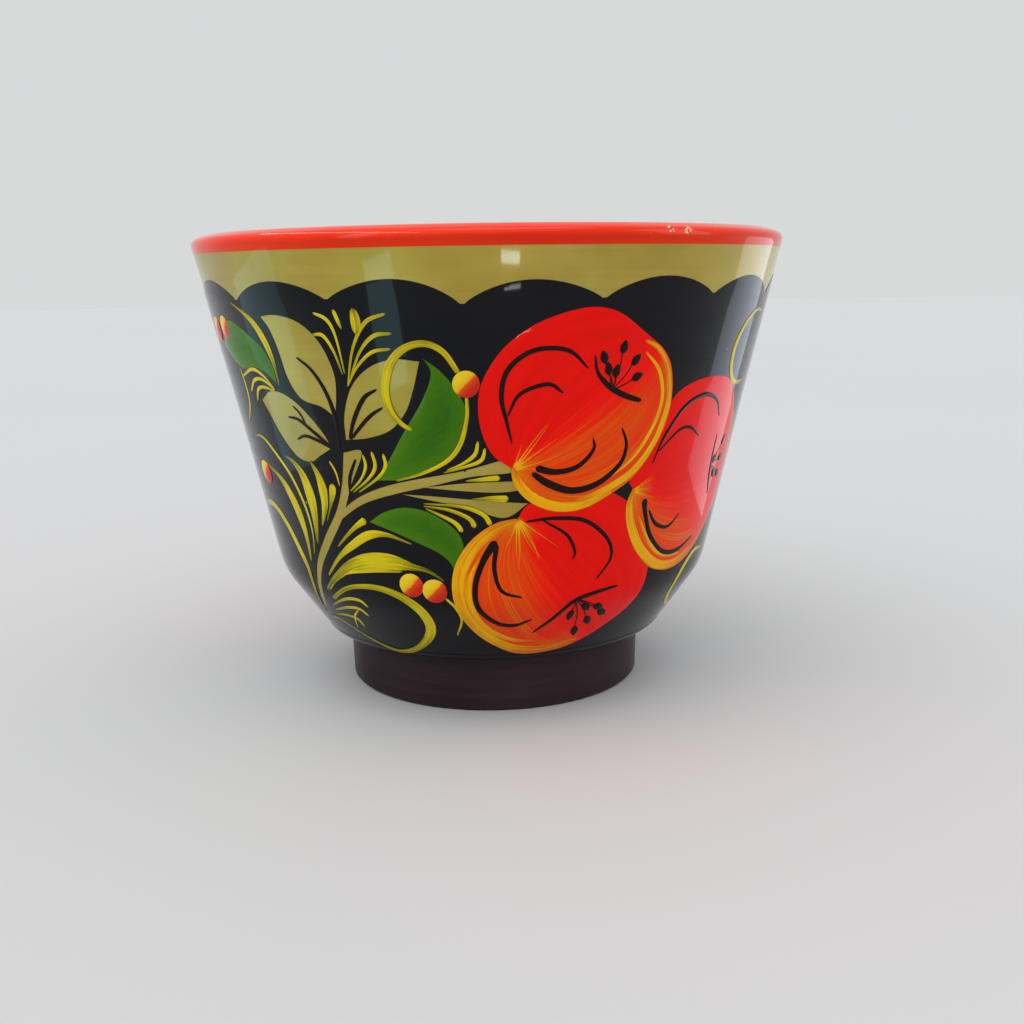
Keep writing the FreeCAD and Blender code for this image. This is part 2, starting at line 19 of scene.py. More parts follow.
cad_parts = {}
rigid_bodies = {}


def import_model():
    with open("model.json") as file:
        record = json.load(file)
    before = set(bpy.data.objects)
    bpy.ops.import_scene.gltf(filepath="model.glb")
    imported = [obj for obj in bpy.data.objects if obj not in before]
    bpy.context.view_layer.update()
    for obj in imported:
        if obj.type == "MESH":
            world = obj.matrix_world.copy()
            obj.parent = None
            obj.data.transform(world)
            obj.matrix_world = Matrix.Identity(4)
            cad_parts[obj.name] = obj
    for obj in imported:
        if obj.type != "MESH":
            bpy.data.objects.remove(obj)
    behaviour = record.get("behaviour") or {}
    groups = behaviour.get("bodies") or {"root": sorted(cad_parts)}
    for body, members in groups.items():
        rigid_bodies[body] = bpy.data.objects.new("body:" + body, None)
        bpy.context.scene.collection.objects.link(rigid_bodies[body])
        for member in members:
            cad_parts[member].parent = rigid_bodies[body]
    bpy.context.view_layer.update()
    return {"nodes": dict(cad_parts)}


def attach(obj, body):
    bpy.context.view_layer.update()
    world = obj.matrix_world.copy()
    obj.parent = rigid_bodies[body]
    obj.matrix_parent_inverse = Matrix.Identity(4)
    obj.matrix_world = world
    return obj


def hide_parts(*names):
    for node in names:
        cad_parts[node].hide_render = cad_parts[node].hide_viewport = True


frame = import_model()
MM = 0.001

# %% [markdown]
# ## The turned section
# A turner works to one section line: foot, shoulder, chine, hollowed wall, lip, lining.  It could be traced
# as a free curve, but a turner's gauge is a few straight runs with rounded corners, so we keep exactly
# that: (radius, height, rounding) corners, with arcs worked out.  Every coat then follows the same line.

# %% Section corners: radius, height and rounding of each
RIM, HEIGHT = 52.5, 81.9                  # widest ring of the wall, and the top of the lip
LIP_DROP, RED_BAND = 2.6, 3.2             # from the top to the widest ring, and to the red's lower edge
RECESS = [(0.0, 2.0, 0), (22.6, 2.0, 0.6), (22.6, 0.0, 0)]
FOOT_RING, FOOT_EDGE, FOOT_TOP = (26.6, 0.0, 0), (27.2, 0.6, 0.5), (27.5, 9.9, 0.6)
SHOULDER, CHINE, MIDDLE = (31.4, 11.0, 1.6), (39.5, 22.4, 12.0), (45.95, 51.2, 400.0)
BRIM_SLOPE = (RIM - MIDDLE[0]) / (HEIGHT - LIP_DROP - MIDDLE[1])
BRIM = (RIM + BRIM_SLOPE * 0.8 + 0.25, HEIGHT - 1.0, 2.4)     # the lip's outer corner, before rounding
LINING = [BRIM, (RIM - 2.7, HEIGHT + 0.25, 5.0), (RIM - 5.3, HEIGHT - 0.7, 1.8), (40.75, 51.2, 400.0),
          (34.6, 17.6, 15.0), (0.0, 16.8, 0)]
FOOT_JOIN_SHARE = 0.3                     # how far out under the shoulder the foot's enamel reaches


def part_way(a, b, share):
    return (a[0] + (b[0] - a[0]) * share, a[1] + (b[1] - a[1]) * share, 0)


FOOT_JOIN = part_way(FOOT_TOP, SHOULDER, FOOT_JOIN_SHARE)
RED_EDGE = part_way(MIDDLE, BRIM, (HEIGHT - RED_BAND - MIDDLE[1]) / (BRIM[1] - MIDDLE[1]))


def straight(a, b, step):
    count = max(1, math.ceil(math.dist(a, b) / step))
    return [(a[0] + (b[0] - a[0]) * k / count, a[1] + (b[1] - a[1]) * k / count) for k in range(count)]


def section(path, step=1.5):
    """Points along straight runs joined by tangent arcs, and the outward normal at each."""
    points, start = [], path[0][:2]
    for before, (r, z, rounding), after in zip(path, path[1:], path[2:]):
        a = Vector((before[0] - r, before[1] - z)).normalized()
        b = Vector((after[0] - r, after[1] - z)).normalized()
        half = a.angle(b) / 2
        run = min(math.dist(before[:2], (r, z)), math.dist(after[:2], (r, z)))
        rounding = min(rounding, run / 2 * math.tan(half))
        back = rounding / math.tan(half)
        centre = Vector((r, z)) + (a + b).normalized() * (rounding / math.sin(half))
        first = Vector((r, z)) + a * back - centre
        last = Vector((r, z)) + b * back - centre
        points += straight(start, tuple(first + centre), step)
        sweep = first.angle_signed(last)
        turns = max(3, math.ceil(abs(sweep) / math.radians(7)), math.ceil(abs(sweep) * rounding / step))
        for k in range(turns):
            angle = -sweep * k / turns
            c, s = math.cos(angle), math.sin(angle)
            points.append((centre.x + first.x * c - first.y * s, centre.y + first.x * s + first.y * c))
        start = (last.x + centre.x, last.y + centre.y)
    points += straight(start, path[-1][:2], step) + [path[-1][:2]]
    line = np.array(points)
    way = np.gradient(line, axis=0)
    way /= np.linalg.norm(way, axis=1)[:, None]
    return line, np.column_stack([way[:, 1], -way[:, 0]])


wall_line, wall_normal = section([FOOT_JOIN, SHOULDER, CHINE, MIDDLE, BRIM, LINING[1]])
rising = np.maximum.accumulate(wall_line[:, 1])
print("wall radius at 24, 51 and 78 mm:", np.interp([24, 51, 78], rising, wall_line[:, 0]).round(2))


def place(angle, height, lift):
    """Points on the wall: degrees round from the front, height and lift off the wall in mm."""
    angle, height = np.radians(np.asarray(angle, float)), np.asarray(height, float)
    r = np.interp(height, rising, wall_line[:, 0]) + lift * np.interp(height, rising, wall_normal[:, 0])
    z = height + lift * np.interp(height, rising, wall_normal[:, 1])
    return np.column_stack([r * np.sin(angle), -r * np.cos(angle), z]) * MM


def radius_at(height):
    return float(np.interp(height, rising, wall_line[:, 0]))


# %% [markdown]
# ## Turning a coat
# A coat is a thin closed ring swept round the axis.  A Screw modifier would do it, but building the rings
# in mesh code keeps both faces, closes the ends and lets us mark the sharp edges ourselves.

# %% Helpers that finish a mesh and turn a section
def finish_piece(name, mesh, material, nodes=()):
    piece = bpy.data.objects.new(name, mesh)
    bpy.context.scene.collection.objects.link(piece)
    mesh.materials.append(material)
    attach(piece, "root")
    if nodes:
        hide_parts(*nodes)
    return piece


def mark_sharp(mesh, degrees=50):
    """Weld the mesh, turn its faces outwards, and shade it smooth but for its sharp edges."""
    bm = bmesh.new()
    bm.from_mesh(mesh)
    bmesh.ops.remove_doubles(bm, verts=bm.verts, dist=1e-7)
    bmesh.ops.recalc_face_normals(bm, faces=bm.faces)
    for face in bm.faces:
        face.smooth = True
    for edge in bm.edges:
        edge.smooth = len(edge.link_faces) == 2 and edge.calc_face_angle(0) < math.radians(degrees)
    bm.to_mesh(mesh)
    bm.free()


def turned_coat(name, path, inner, outer, material, nodes=(), around=240, step=1.5):
    """A closed ring between two lines that run inner and outer mm off the section."""
    line, normal = section(path, step)
    shapes = []
    for lift in (outer, inner):
        moved = line + normal * lift
        moved[np.array(line)[:, 0] == 0, 0] = 0.0
        shapes.append(moved)
    loop = np.vstack([shapes[0], shapes[1][::-1]])
    turn = np.arange(around) * 2 * math.pi / around
    verts = np.array([(r * math.sin(a), -r * math.cos(a), z) for a in turn for r, z in loop]) * MM
    n = len(loop)
    faces = [(k * n + i, (k + 1) % around * n + i, (k + 1) % around * n + (i + 1) % n, k * n + (i + 1) % n)
             for k in range(around) for i in range(n)]
    mesh = bpy.data.meshes.new(name)
    mesh.from_pydata(verts.tolist(), [], faces)
    mark_sharp(mesh)
    print(name, len(mesh.polygons), "faces")
    return finish_piece(name, mesh, material, nodes)


# %% [markdown]
# ## Brush strokes and painted shapes
# Oil paint stands up from the ground a tenth of a millimetre and rounds off at its edge, and the lacquer
# follows it.  A texture could fake that, but real meshes catch the light at the right place from all sides.
# A *stroke* is a ribbon with a domed back that follows a smooth line; a *shape* is a filled outline.
# Both carry two named attributes for their paint.  `grain` is millimetres along and across the bristles,
# with a third value: it sets one stroke's streaks apart from the next, is the depth in from the edge of a
# filled shape, or says where a fruit's paint was wet.  `tone` says how far the colour has turned from its
# first shade to its last.

# %% Smooth curves through given points
def smooth(points, closed=False, step=0.6):
    """A Catmull-Rom curve through points whose first two values are (angle, height)."""
    pts = np.array(points, float)
    if closed:
        pts = np.vstack([pts[-1], pts, pts[0], pts[1]])
    else:
        pts = np.vstack([2 * pts[0] - pts[1], pts, 2 * pts[-1] - pts[-2]])
    out = []
    for p0, p1, p2, p3 in zip(pts, pts[1:], pts[2:], pts[3:]):
        scale = math.radians(radius_at(p1[1]))
        length = math.hypot((p2[0] - p1[0]) * scale, p2[1] - p1[1])
        count = max(2, math.ceil(length / step))
        t = (np.arange(count) / count)[:, None]
        out.append(0.5 * (2 * p1 + (p2 - p0) * t + (2 * p0 - 5 * p1 + 4 * p2 - p3) * t ** 2
                          + (3 * p1 - p0 - 3 * p2 + p3) * t ** 3))
    curve = np.vstack(out)
    return curve if closed else np.vstack([curve, pts[-2]])


# %% How high each kind of paint starts above the gold coat, and how thick it stands, in mm
LAYERS = {"ground": (0.03, 0.09), "vein": (0.08, 0.06), "green_leaf": (0.11, 0.12), "fruit": (0.12, 0.13),
          "yellow_leaf": (0.13, 0.07), "berry": (0.14, 0.20), "grass": (0.15, 0.07), "curl": (0.16, 0.08),
          "edging": (0.235, 0.06), "pull": (0.235, 0.05), "fruit_line": (0.27, 0.09),
          "thread": (0.28, 0.05), "seed": (0.30, 0.10)}
SUNK = 0.03              # how far a shape's hidden underside reaches into the paint below
print(len(LAYERS), "layers, the highest", max(lift + thick for lift, thick in LAYERS.values()), "mm up")


# %% A stroke: a domed ribbon with round ends
ACROSS = np.array([-1.0, -0.62, 0.0, 0.62, 1.0])     # places across the ribbon, as shares of its half width
THINNEST = 0.12                                      # mm; no brush leaves less


def stroke(line, layer, turn=0.0):
    """Vertices, faces, grain and tone of one stroke given as (angle, height, width) points."""
    lift, thick = LAYERS[layer]
    pts = smooth(line, step=0.45)
    scale = np.radians([radius_at(z) for z in pts[:, 1]])
    flat = np.column_stack([pts[:, 0] * scale.mean(), pts[:, 1]])
    way = np.gradient(flat, axis=0)
    way /= np.linalg.norm(way, axis=1)[:, None]
    run = np.concatenate([[0], np.cumsum(np.linalg.norm(np.diff(flat, axis=0), axis=1))])
    half = np.maximum(pts[:, 2], THINNEST) / 2
    for gap in (run + 0.03, run[-1] - run + 0.03):
        end = np.clip(gap / np.maximum(half, 0.05), 0, 1)
        half = half * np.sqrt(1 - (1 - end) ** 2)
    verts, grain, tone = [], [], []
    for a in ACROSS:
        angle = pts[:, 0] - way[:, 1] * half * a / scale
        height = pts[:, 1] + way[:, 0] * half * a
        rise = thick * np.sqrt(max(0.0, 1 - a * a)) * np.clip(half / 0.5, 0.35, 1)
        verts.append(place(angle + turn, height, lift + rise))
        grain.append(np.column_stack([run, half * a, np.full(len(run), line[0][0] + line[0][1])]))
        tone.append((half / half.max()) ** 0.8)
    n = len(pts)
    rows = range(len(ACROSS))
    faces = [(k * n + i, k * n + i + 1, (k + 1) % len(rows) * n + i + 1, (k + 1) % len(rows) * n + i)
             for k in rows for i in range(n - 1)]
    faces += [tuple(k * n for k in rows), tuple(k * n + n - 1 for k in reversed(rows))]
    return np.vstack(verts), faces, np.vstack(grain), np.concatenate(tone)


# %% A shape: a filled outline with its own triangles
def inside(points, loop):
    """Which points lie inside the loop."""
    x, y = points[:, 0][:, None], points[:, 1][:, None]
    x1, y1 = loop[:, 0], loop[:, 1]
    x2, y2 = np.roll(x1, -1), np.roll(y1, -1)
    rises = np.where(y2 == y1, 1e-9, y2 - y1)
    crosses = ((y1 > y) != (y2 > y)) & (x < (x2 - x1) * (y - y1) / rises + x1)
    return crosses.sum(axis=1) % 2 == 1


def distance(points, loop, closed=True):
    """How far each point is from the loop, or from an open line."""
    start = loop if closed else loop[:-1]
    end = np.roll(loop, -1, axis=0) if closed else loop[1:]
    best = np.full(len(points), 1e9)
    for a, b in zip(start, end):
        ab = b - a
        t = np.clip(((points - a) @ ab) / max(ab @ ab, 1e-12), 0, 1)
        best = np.minimum(best, np.linalg.norm(points - a - t[:, None] * ab, axis=1))
    return best


def fill(outer, holes, spacing):
    """Points and triangles of the area inside outer and outside the holes, in flat millimetres."""
    low, high = outer.min(axis=0), outer.max(axis=0)
    rows = np.arange(low[1] + spacing / 2, high[1], spacing * 0.87)
    grid = np.array([(x + (spacing / 2 if k % 2 else 0), y) for k, y in enumerate(rows)
                     for x in np.arange(low[0] + spacing / 2, high[0], spacing)])
    keep = inside(grid, outer) & (distance(grid, outer) > spacing * 0.55)
    for hole in holes:
        keep &= ~inside(grid, hole) & (distance(grid, hole) > spacing * 0.55)
    loops, edges = [outer, *holes], []
    points = np.vstack(loops + [grid[keep]])
    first = 0
    for loop in loops:
        edges += [(first + i, first + (i + 1) % len(loop)) for i in range(len(loop))]
        first += len(loop)
    verts, _, tris, *_ = delaunay_2d_cdt([Vector(p) for p in points], edges, [], 0, 1e-6)
    verts = np.array([tuple(v) for v in verts])
    tris = np.array(tris)
    middle = verts[tris].mean(axis=1)
    good = inside(middle, outer)
    for hole in holes:
        good &= ~inside(middle, hole)
    return verts, tris[good]


def shape(outline, layer, spacing, turn=0.0, holes=(), edge=0.5, paint=None):
    """A filled painted shape; paint(flat points, depth from the edge) gives its grain and tone."""
    lift, thick = LAYERS[layer]
    scale = math.radians(radius_at(outline[:, 1].mean()))
    loops = [loop * (scale, 1) for loop in (outline, *holes)]
    verts, tris = fill(loops[0], loops[1:], spacing)
    depth = np.min([distance(verts, loop) for loop in loops], axis=0)
    rise = thick * (0.3 + 0.7 * np.clip(depth / edge, 0, 1))
    angle, height = verts[:, 0] / scale + turn, verts[:, 1]
    top, under = place(angle, height, lift + rise), place(angle, height, lift - SUNK)
    n = len(verts)
    seen = dict.fromkeys((a, b) for tri in tris.tolist() for a, b in zip(tri, tri[1:] + tri[:1]))
    rim = [(a, b) for a, b in seen if (b, a) not in seen]
    faces = [tuple(t) for t in tris.tolist()] + [tuple(v + n for v in reversed(t)) for t in tris.tolist()]
    faces += [(b, a, a + n, b + n) for a, b in rim]
    grain, tone = paint(verts, depth) if paint else (np.column_stack([verts, depth]), depth * 0)
    return np.vstack([top, under]), faces, np.vstack([grain, grain]), np.concatenate([tone, tone])


# %% Joining strokes and shapes into one painted piece
def painted(name, parts, material, nodes=()):
    """One piece from many strokes or shapes, with their grain and tone as attributes."""
    verts, faces, grain, tone, first = [], [], [], [], 0
    for v, f, g, t in parts:
        faces += [tuple(i + first for i in face) for face in f]
        first += len(v)
        verts.append(v)
        grain.append(g)
        tone.append(t)
    mesh = bpy.data.meshes.new(name)
    mesh.from_pydata(np.vstack(verts).tolist(), [], faces)
    along = mesh.attributes.new("grain", "FLOAT_VECTOR", "POINT")
    along.data.foreach_set("vector", np.vstack(grain).ravel())
    turned = mesh.attributes.new("tone", "FLOAT", "POINT")
    turned.data.foreach_set("value", np.concatenate(tone))
    mark_sharp(mesh, 75)
    print(name, len(parts), "strokes,", len(mesh.polygons), "faces")
    return finish_piece(name, mesh, material, nodes)


# %% [markdown]
# ## Finishes
# Each finish is a small node tree.  `Finish` keeps the trees short: `add` makes a node, and an input that
# is another node's output is linked while a plain number is typed into the socket.

# %% A short way to write node trees
class Finish:
    def __init__(self, name, **surface):
        self.material = bpy.data.materials.new(name)
        self.material.use_nodes = True
        self.tree = self.material.node_tree
        self.surface = self.tree.nodes["Principled BSDF"]
        self.set(self.surface, surface)

    def set(self, node, values):
        for key, value in values.items():
            socket = node.inputs[key] if isinstance(key, int) else node.inputs[key.replace("_", " ")]
            if isinstance(value, bpy.types.NodeSocket):
                self.tree.links.new(value, socket)
            else:
                socket.default_value = value

    def add(self, kind, values=None, out=0, **settings):
        node = self.tree.nodes.new("ShaderNode" + kind)
        for key, value in settings.items():
            setattr(node, key, value)
        self.set(node, values or {})
        return node.outputs[out]

    def where(self, scale):
        """The place on the object, with each axis multiplied."""
        spot = self.add("TexCoord", out=3)
        return self.add("Mapping", {"Vector": spot, "Scale": scale})

    def grain(self, scale):
        spot = self.add("Attribute", out=1, attribute_name="grain")
        return self.add("Mapping", {"Vector": spot, "Scale": scale})

    def tone(self):
        return self.add("Attribute", out=2, attribute_name="tone")

    def noise(self, vector, scale=1.0, detail=3.0, roughness=0.55, distortion=0.0):
        return self.add("TexNoise", {"Vector": vector, "Scale": scale, "Detail": detail,
                                     "Roughness": roughness, "Distortion": distortion})

    def math(self, operation, a, b=0.0):
        return self.add("Math", {0: a, 1: b}, operation=operation)

    def spread(self, value, low, high, to_low=0.0, to_high=1.0):
        return self.add("MapRange", {"Value": value, "From Min": low, "From Max": high,
                                     "To Min": to_low, "To Max": to_high})

    def ramp(self, value, stops):
        node = self.tree.nodes.new("ShaderNodeValToRGB")
        while len(node.color_ramp.elements) < len(stops):
            node.color_ramp.elements.new(0.5)
        for element, (place_on_ramp, colour) in zip(node.color_ramp.elements, stops):
            element.position, element.color = place_on_ramp, (*colour, 1)
        self.set(node, {"Fac": value})
        return node.outputs[0]

    def mix(self, share, a, b):
        node = self.tree.nodes.new("ShaderNodeMix")
        node.data_type = "RGBA"
        a, b = (c if isinstance(c, bpy.types.NodeSocket) else (*c, 1) for c in (a, b))
        self.set(node, {0: share, 6: a, 7: b})
        return node.outputs[2]

    def bump(self, height, millimetres, strength=1.0):
        return self.add("Bump", {"Height": height, "Distance": millimetres * MM, "Strength": strength})


def lacquered(name, **more):
    """A finish under the clear baked lacquer that the whole bowl gets last."""
    return Finish(name, **{"Coat_Weight": 1.0, "Coat_Roughness": 0.045, "Coat_IOR": 1.18,
                           "Specular_IOR_Level": 0.02, **more})


# %% [markdown]
# ### Old gold
# The gold is no gold leaf: it is metal powder rubbed into tacky oil on a turning lathe and then baked under
# amber lacquer.  So it shows fine level rings where the pad passed, cloudy patches where more powder stuck,
# and small dark specks of dust under the lacquer.

# %% Old gold
def gold_finish():
    f = lacquered("lacquered_metal_powder", Metallic=0.62, Roughness=0.40, Coat_IOR=1.32)
    rings = f.noise(f.where((18, 18, 1500)), detail=4.0, roughness=0.65)
    clouds = f.noise(f.where((55, 55, 90)), detail=3.0)
    rubbed = f.math("ADD", f.math("MULTIPLY", rings, 0.25), f.math("MULTIPLY", clouds, 0.75))
    colour = f.ramp(rubbed, [(0.34, (0.315, 0.225, 0.026)), (0.5, (0.370, 0.275, 0.038)),
                             (0.66, (0.430, 0.330, 0.058))])
    specks = f.add("TexVoronoi", {"Vector": f.where((1, 1, 1)), "Scale": 620.0})
    dusty = f.math("GREATER_THAN", f.noise(f.where((1, 1, 1)), 140.0), 0.66)
    dust = f.math("MULTIPLY", f.math("LESS_THAN", specks, 0.16), dusty)
    f.set(f.surface, {"Base_Color": f.mix(dust, colour, (0.05, 0.035, 0.01)),
                      "Roughness": f.spread(rings, 0.3, 0.7, 0.36, 0.46),
                      "Normal": f.bump(rings, 0.02, 0.4)})
    return f.material


# %% [markdown]
# ### Red enamel, black enamel and the black ground
# The red is laid with a broad brush while the bowl turns, so its marks run level as well.  The black ground
# is thinner and smoother and gets the most lacquer.  The foot gets plain black with little lacquer, and it
# is handled most, so it is duller.

# %% Red enamel, with a few nicks in the lip
NICKS = [(31.0, 1.3), (34.5, 1.7), (41.0, 1.1), (-118.0, 1.5), (150.0, 1.3)]   # degrees round, reach in mm
NICK_DROP = 1.2                                                                # mm below the top of the lip
RED_SHADES = [(0.35, (0.60, 0.016, 0.0005)), (0.55, (0.68, 0.028, 0.0008)), (0.7, (0.74, 0.044, 0.001))]
BARE_PRIMER = (0.78, 0.62, 0.42)


def red_finish():
    f = lacquered("red_enamel", Roughness=0.38, Coat_IOR=1.24)
    brush = f.noise(f.where((14, 14, 520)), detail=4.0, roughness=0.6)
    clouds = f.noise(f.where((40, 40, 60)), detail=2.0)
    shade = f.math("ADD", f.math("MULTIPLY", brush, 0.5), f.math("MULTIPLY", clouds, 0.5))
    colour = f.ramp(shade, RED_SHADES)
    knocks = f.noise(f.where((1, 1, 1)), 1600.0, 3.0, 0.7)
    bare = 0.0
    for angle, reach in NICKS:
        spot = place([angle], [HEIGHT - NICK_DROP], 0.0)[0]
        near = f.add("VectorMath", {0: f.where((1, 1, 1)), 1: tuple(spot)}, out=1, operation="DISTANCE")
        fading = f.spread(near, 0, reach * MM, 0.0, 0.30)
        worn = f.math("GREATER_THAN", f.math("SUBTRACT", knocks, fading), 0.46)
        bare = f.math("MAXIMUM", bare, worn)
    sunk = f.math("SUBTRACT", brush, f.math("MULTIPLY", bare, 3.0))
    f.set(f.surface, {"Base_Color": f.mix(bare, colour, BARE_PRIMER), "Normal": f.bump(sunk, 0.03, 0.6)})
    return f.material


# %% The blacks
def black_finish(name, colours, roughness, coat, coat_roughness, ring_mm):
    f = lacquered(name, Coat_Weight=coat, Coat_Roughness=coat_roughness, Coat_IOR=1.22)
    brush = f.noise(f.where((20, 20, 700)), detail=4.0, roughness=0.6)
    clouds = f.noise(f.where((30, 30, 45)), detail=2.0)
    colour = f.ramp(f.math("ADD", f.math("MULTIPLY", brush, 0.4), f.math("MULTIPLY", clouds, 0.6)),
                    [(0.38, colours[0]), (0.62, colours[1])])
    specks = f.add("TexVoronoi", {"Vector": f.where((1, 1, 1)), "Scale": 420.0})
    few = f.math("GREATER_THAN", f.noise(f.where((1, 1, 1)), 90.0), 0.68)
    dust = f.math("MULTIPLY", f.math("LESS_THAN", specks, 0.10), few)
    f.set(f.surface, {"Base_Color": f.mix(dust, colour, (0.16, 0.15, 0.13)),
                      "Roughness": f.spread(brush, 0.3, 0.7, roughness - 0.05, roughness + 0.08),
                      "Normal": f.bump(brush, ring_mm, 0.5)})
    return f.material


# %% [markdown]
# ### Brush paint
# A loaded brush leaves bristle lines along its path, paint piled at the edges and thinner paint at the
# tail.  `grain` runs along the bristles, so noise that is stretched along it gives the lines, and the same
# noise lifts the surface a little.

# %% Brush paint
def brushed(name, stops, bristles=2.6, streak=0.35, ridge_mm=0.05, along=0.10, roughness=0.34):
    f = lacquered(name, Roughness=roughness)
    lines = f.noise(f.grain((along, bristles, 1.0)), detail=3.0, roughness=0.6)
    swell = f.noise(f.grain((0.22, 0.5, 1.0)), detail=2.0)
    shift = f.math("MULTIPLY", f.math("SUBTRACT", lines, 0.5), streak * 2)
    shift = f.math("ADD", shift, f.math("MULTIPLY", f.math("SUBTRACT", swell, 0.5), streak * 0.8))
    colour = f.ramp(f.math("ADD", f.tone(), shift), stops)
    f.set(f.surface, {"Base_Color": colour, "Normal": f.bump(lines, ridge_mm, 0.7)})
    return f.material


# %% Fruit paint: a red cheek with thin streaks of yellow pulled through it
def fruit_finish(stops):
    """The streaks show where grain's third value says that the paint was wet."""
    f = lacquered("fruit_paint", Roughness=0.34)
    spot = f.add("Attribute", out=1, attribute_name="grain")
    wet = f.add("SeparateXYZ", {0: spot}, out=2)
    flat = f.add("Mapping", {"Vector": spot, "Scale": (1, 1, 0)})
    broad = f.noise(f.add("Mapping", {"Vector": flat, "Scale": (0.06, 0.55, 1)}), detail=2.0)
    fine = f.noise(f.add("Mapping", {"Vector": flat, "Scale": (0.035, 3.6, 1)}), detail=3.0, roughness=0.6)
    thread = f.math("MULTIPLY", f.spread(fine, 0.54, 0.66), wet)
    shade = f.math("ADD", f.tone(), f.math("MULTIPLY", f.math("SUBTRACT", broad, 0.5), 0.30))
    shade = f.math("ADD", shade, f.math("MULTIPLY", thread, 0.34))
    f.set(f.surface, {"Base_Color": f.ramp(shade, stops), "Normal": f.bump(fine, 0.02, 0.6)})
    return f.material


# %% [markdown]
# ### Bare wood and primer
# Only the standing ring of the foot is left bare, and the primer is hidden but for the nicks, yet both get
# a true finish.  Lime has pale, even fibres with faint year rings, and the clay is matt and gritty.

# %% Bare wood and primer
def wood_finish():
    f = Finish("lime_wood", Roughness=0.62, Specular_IOR_Level=0.3)
    fibre = f.noise(f.where((160, 1500, 1500)), detail=4.0, distortion=0.4)
    years = f.add("TexWave", {"Vector": f.where((30, 260, 120)), "Scale": 1.0, "Distortion": 3.0,
                              "Detail": 2.0})
    colour = f.ramp(f.math("ADD", f.math("MULTIPLY", fibre, 0.6), f.math("MULTIPLY", years, 0.4)),
                    [(0.3, (0.50, 0.34, 0.18)), (0.7, (0.72, 0.55, 0.34))])
    f.set(f.surface, {"Base_Color": colour, "Normal": f.bump(fibre, 0.06)})
    return f.material


def clay_finish():
    f = Finish("clay_primer", Roughness=0.85)
    grit = f.noise(f.where((1, 1, 1)), 900.0, 5.0, 0.7)
    f.set(f.surface, {"Base_Color": f.ramp(grit, [(0.35, (0.20, 0.11, 0.07)), (0.65, (0.33, 0.20, 0.13))]),
                      "Normal": f.bump(grit, 0.04)})
    return f.material


# %% [markdown]
# ### The painter's palette
# Each paint is a short ramp from its first shade to its last, and `tone` picks the place on it.  One flat
# colour for each would be quicker, but oil paint is never even: yellow goes olive where it is thin, and the
# yellow edging of the fruit browns where it is dragged over wet red.

# %% Mix the paints
GOLD, RED = gold_finish(), red_finish()
GROUND = black_finish("black_ground", [(0.0022, 0.0028, 0.0045), (0.0055, 0.0050, 0.0066)],
                      roughness=0.30, coat=1.0, coat_roughness=0.05, ring_mm=0.02)
FOOT = black_finish("black_foot_enamel", [(0.019, 0.011, 0.014), (0.036, 0.022, 0.026)],
                    roughness=0.42, coat=0.35, coat_roughness=0.22, ring_mm=0.05)
FRUIT = fruit_finish([(0.0, (0.66, 0.0022, 0.0004)), (0.28, (0.82, 0.0040, 0.0004)),
                      (0.44, (0.78, 0.020, 0.0006)), (0.60, (0.70, 0.062, 0.0008)),
                      (0.80, (0.66, 0.140, 0.0012)), (1.0, (0.68, 0.250, 0.002))])
EDGING = brushed("fruit_edging_paint", [(0.0, (0.50, 0.060, 0.001)), (0.35, (0.58, 0.130, 0.001)),
                                        (0.65, (0.66, 0.220, 0.001)), (1.0, (0.76, 0.380, 0.003))],
                 bristles=4.5, streak=0.95, ridge_mm=0.03, along=0.05)
GREEN = brushed("green_paint", [(0.0, (0.004, 0.045, 0.012)), (0.40, (0.030, 0.120, 0.002)),
                                (0.75, (0.060, 0.160, 0.002)), (1.0, (0.130, 0.230, 0.003))],
                bristles=1.6, streak=0.16, ridge_mm=0.03)
YELLOW = brushed("yellow_paint", [(0.0, (0.070, 0.066, 0.002)), (0.40, (0.22, 0.185, 0.002)),
                                  (0.75, (0.42, 0.325, 0.003)), (1.0, (0.58, 0.45, 0.006))],
                 bristles=3.4, streak=0.85, ridge_mm=0.03)
LINE = brushed("dark_line_paint", [(0.0, (0.004, 0.001, 0.001)), (1.0, (0.011, 0.004, 0.003))],
               bristles=3.0, streak=0.3, ridge_mm=0.02)
BERRY = brushed("berry_paint", [(0.0, (0.72, 0.50, 0.020)), (0.40, (0.70, 0.36, 0.012)),
                                (0.56, (0.64, 0.060, 0.006)), (1.0, (0.50, 0.018, 0.008))],
                bristles=1.6, streak=0.12, ridge_mm=0.03)
for node, finish in (("turned_wood_body", wood_finish), ("clay_primer", clay_finish)):
    frame["nodes"][node].data.materials.clear()
    frame["nodes"][node].data.materials.append(finish())
print(len(bpy.data.materials), "finishes")

# %% [markdown]
# ## The coats
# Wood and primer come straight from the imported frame.  The colour coats are turned again here with finer
# rings, because a long soft reflection shows every flat facet.

# %% Turn the coats
COAT = -0.1              # mm from the finished surface to a colour coat's inner face
RED_STANDS = 0.03        # the red is laid last and stands up a little over the gold
turned_coat("gold_wall", [FOOT_JOIN, SHOULDER, CHINE, MIDDLE, RED_EDGE], COAT, 0.0,
            GOLD, ["metal_powder_coat"])
turned_coat("red_lip_and_lining_coat", [RED_EDGE] + LINING, COAT, RED_STANDS, RED,
            ["red_lip_and_lining"])
turned_coat("black_foot_coat", [FOOT_RING, FOOT_EDGE, FOOT_TOP, FOOT_JOIN], COAT, 0.0,
            FOOT, ["black_foot_enamel"])
turned_coat("black_recess_coat", RECESS, COAT, 0.0, FOOT, ["black_recess_enamel"])

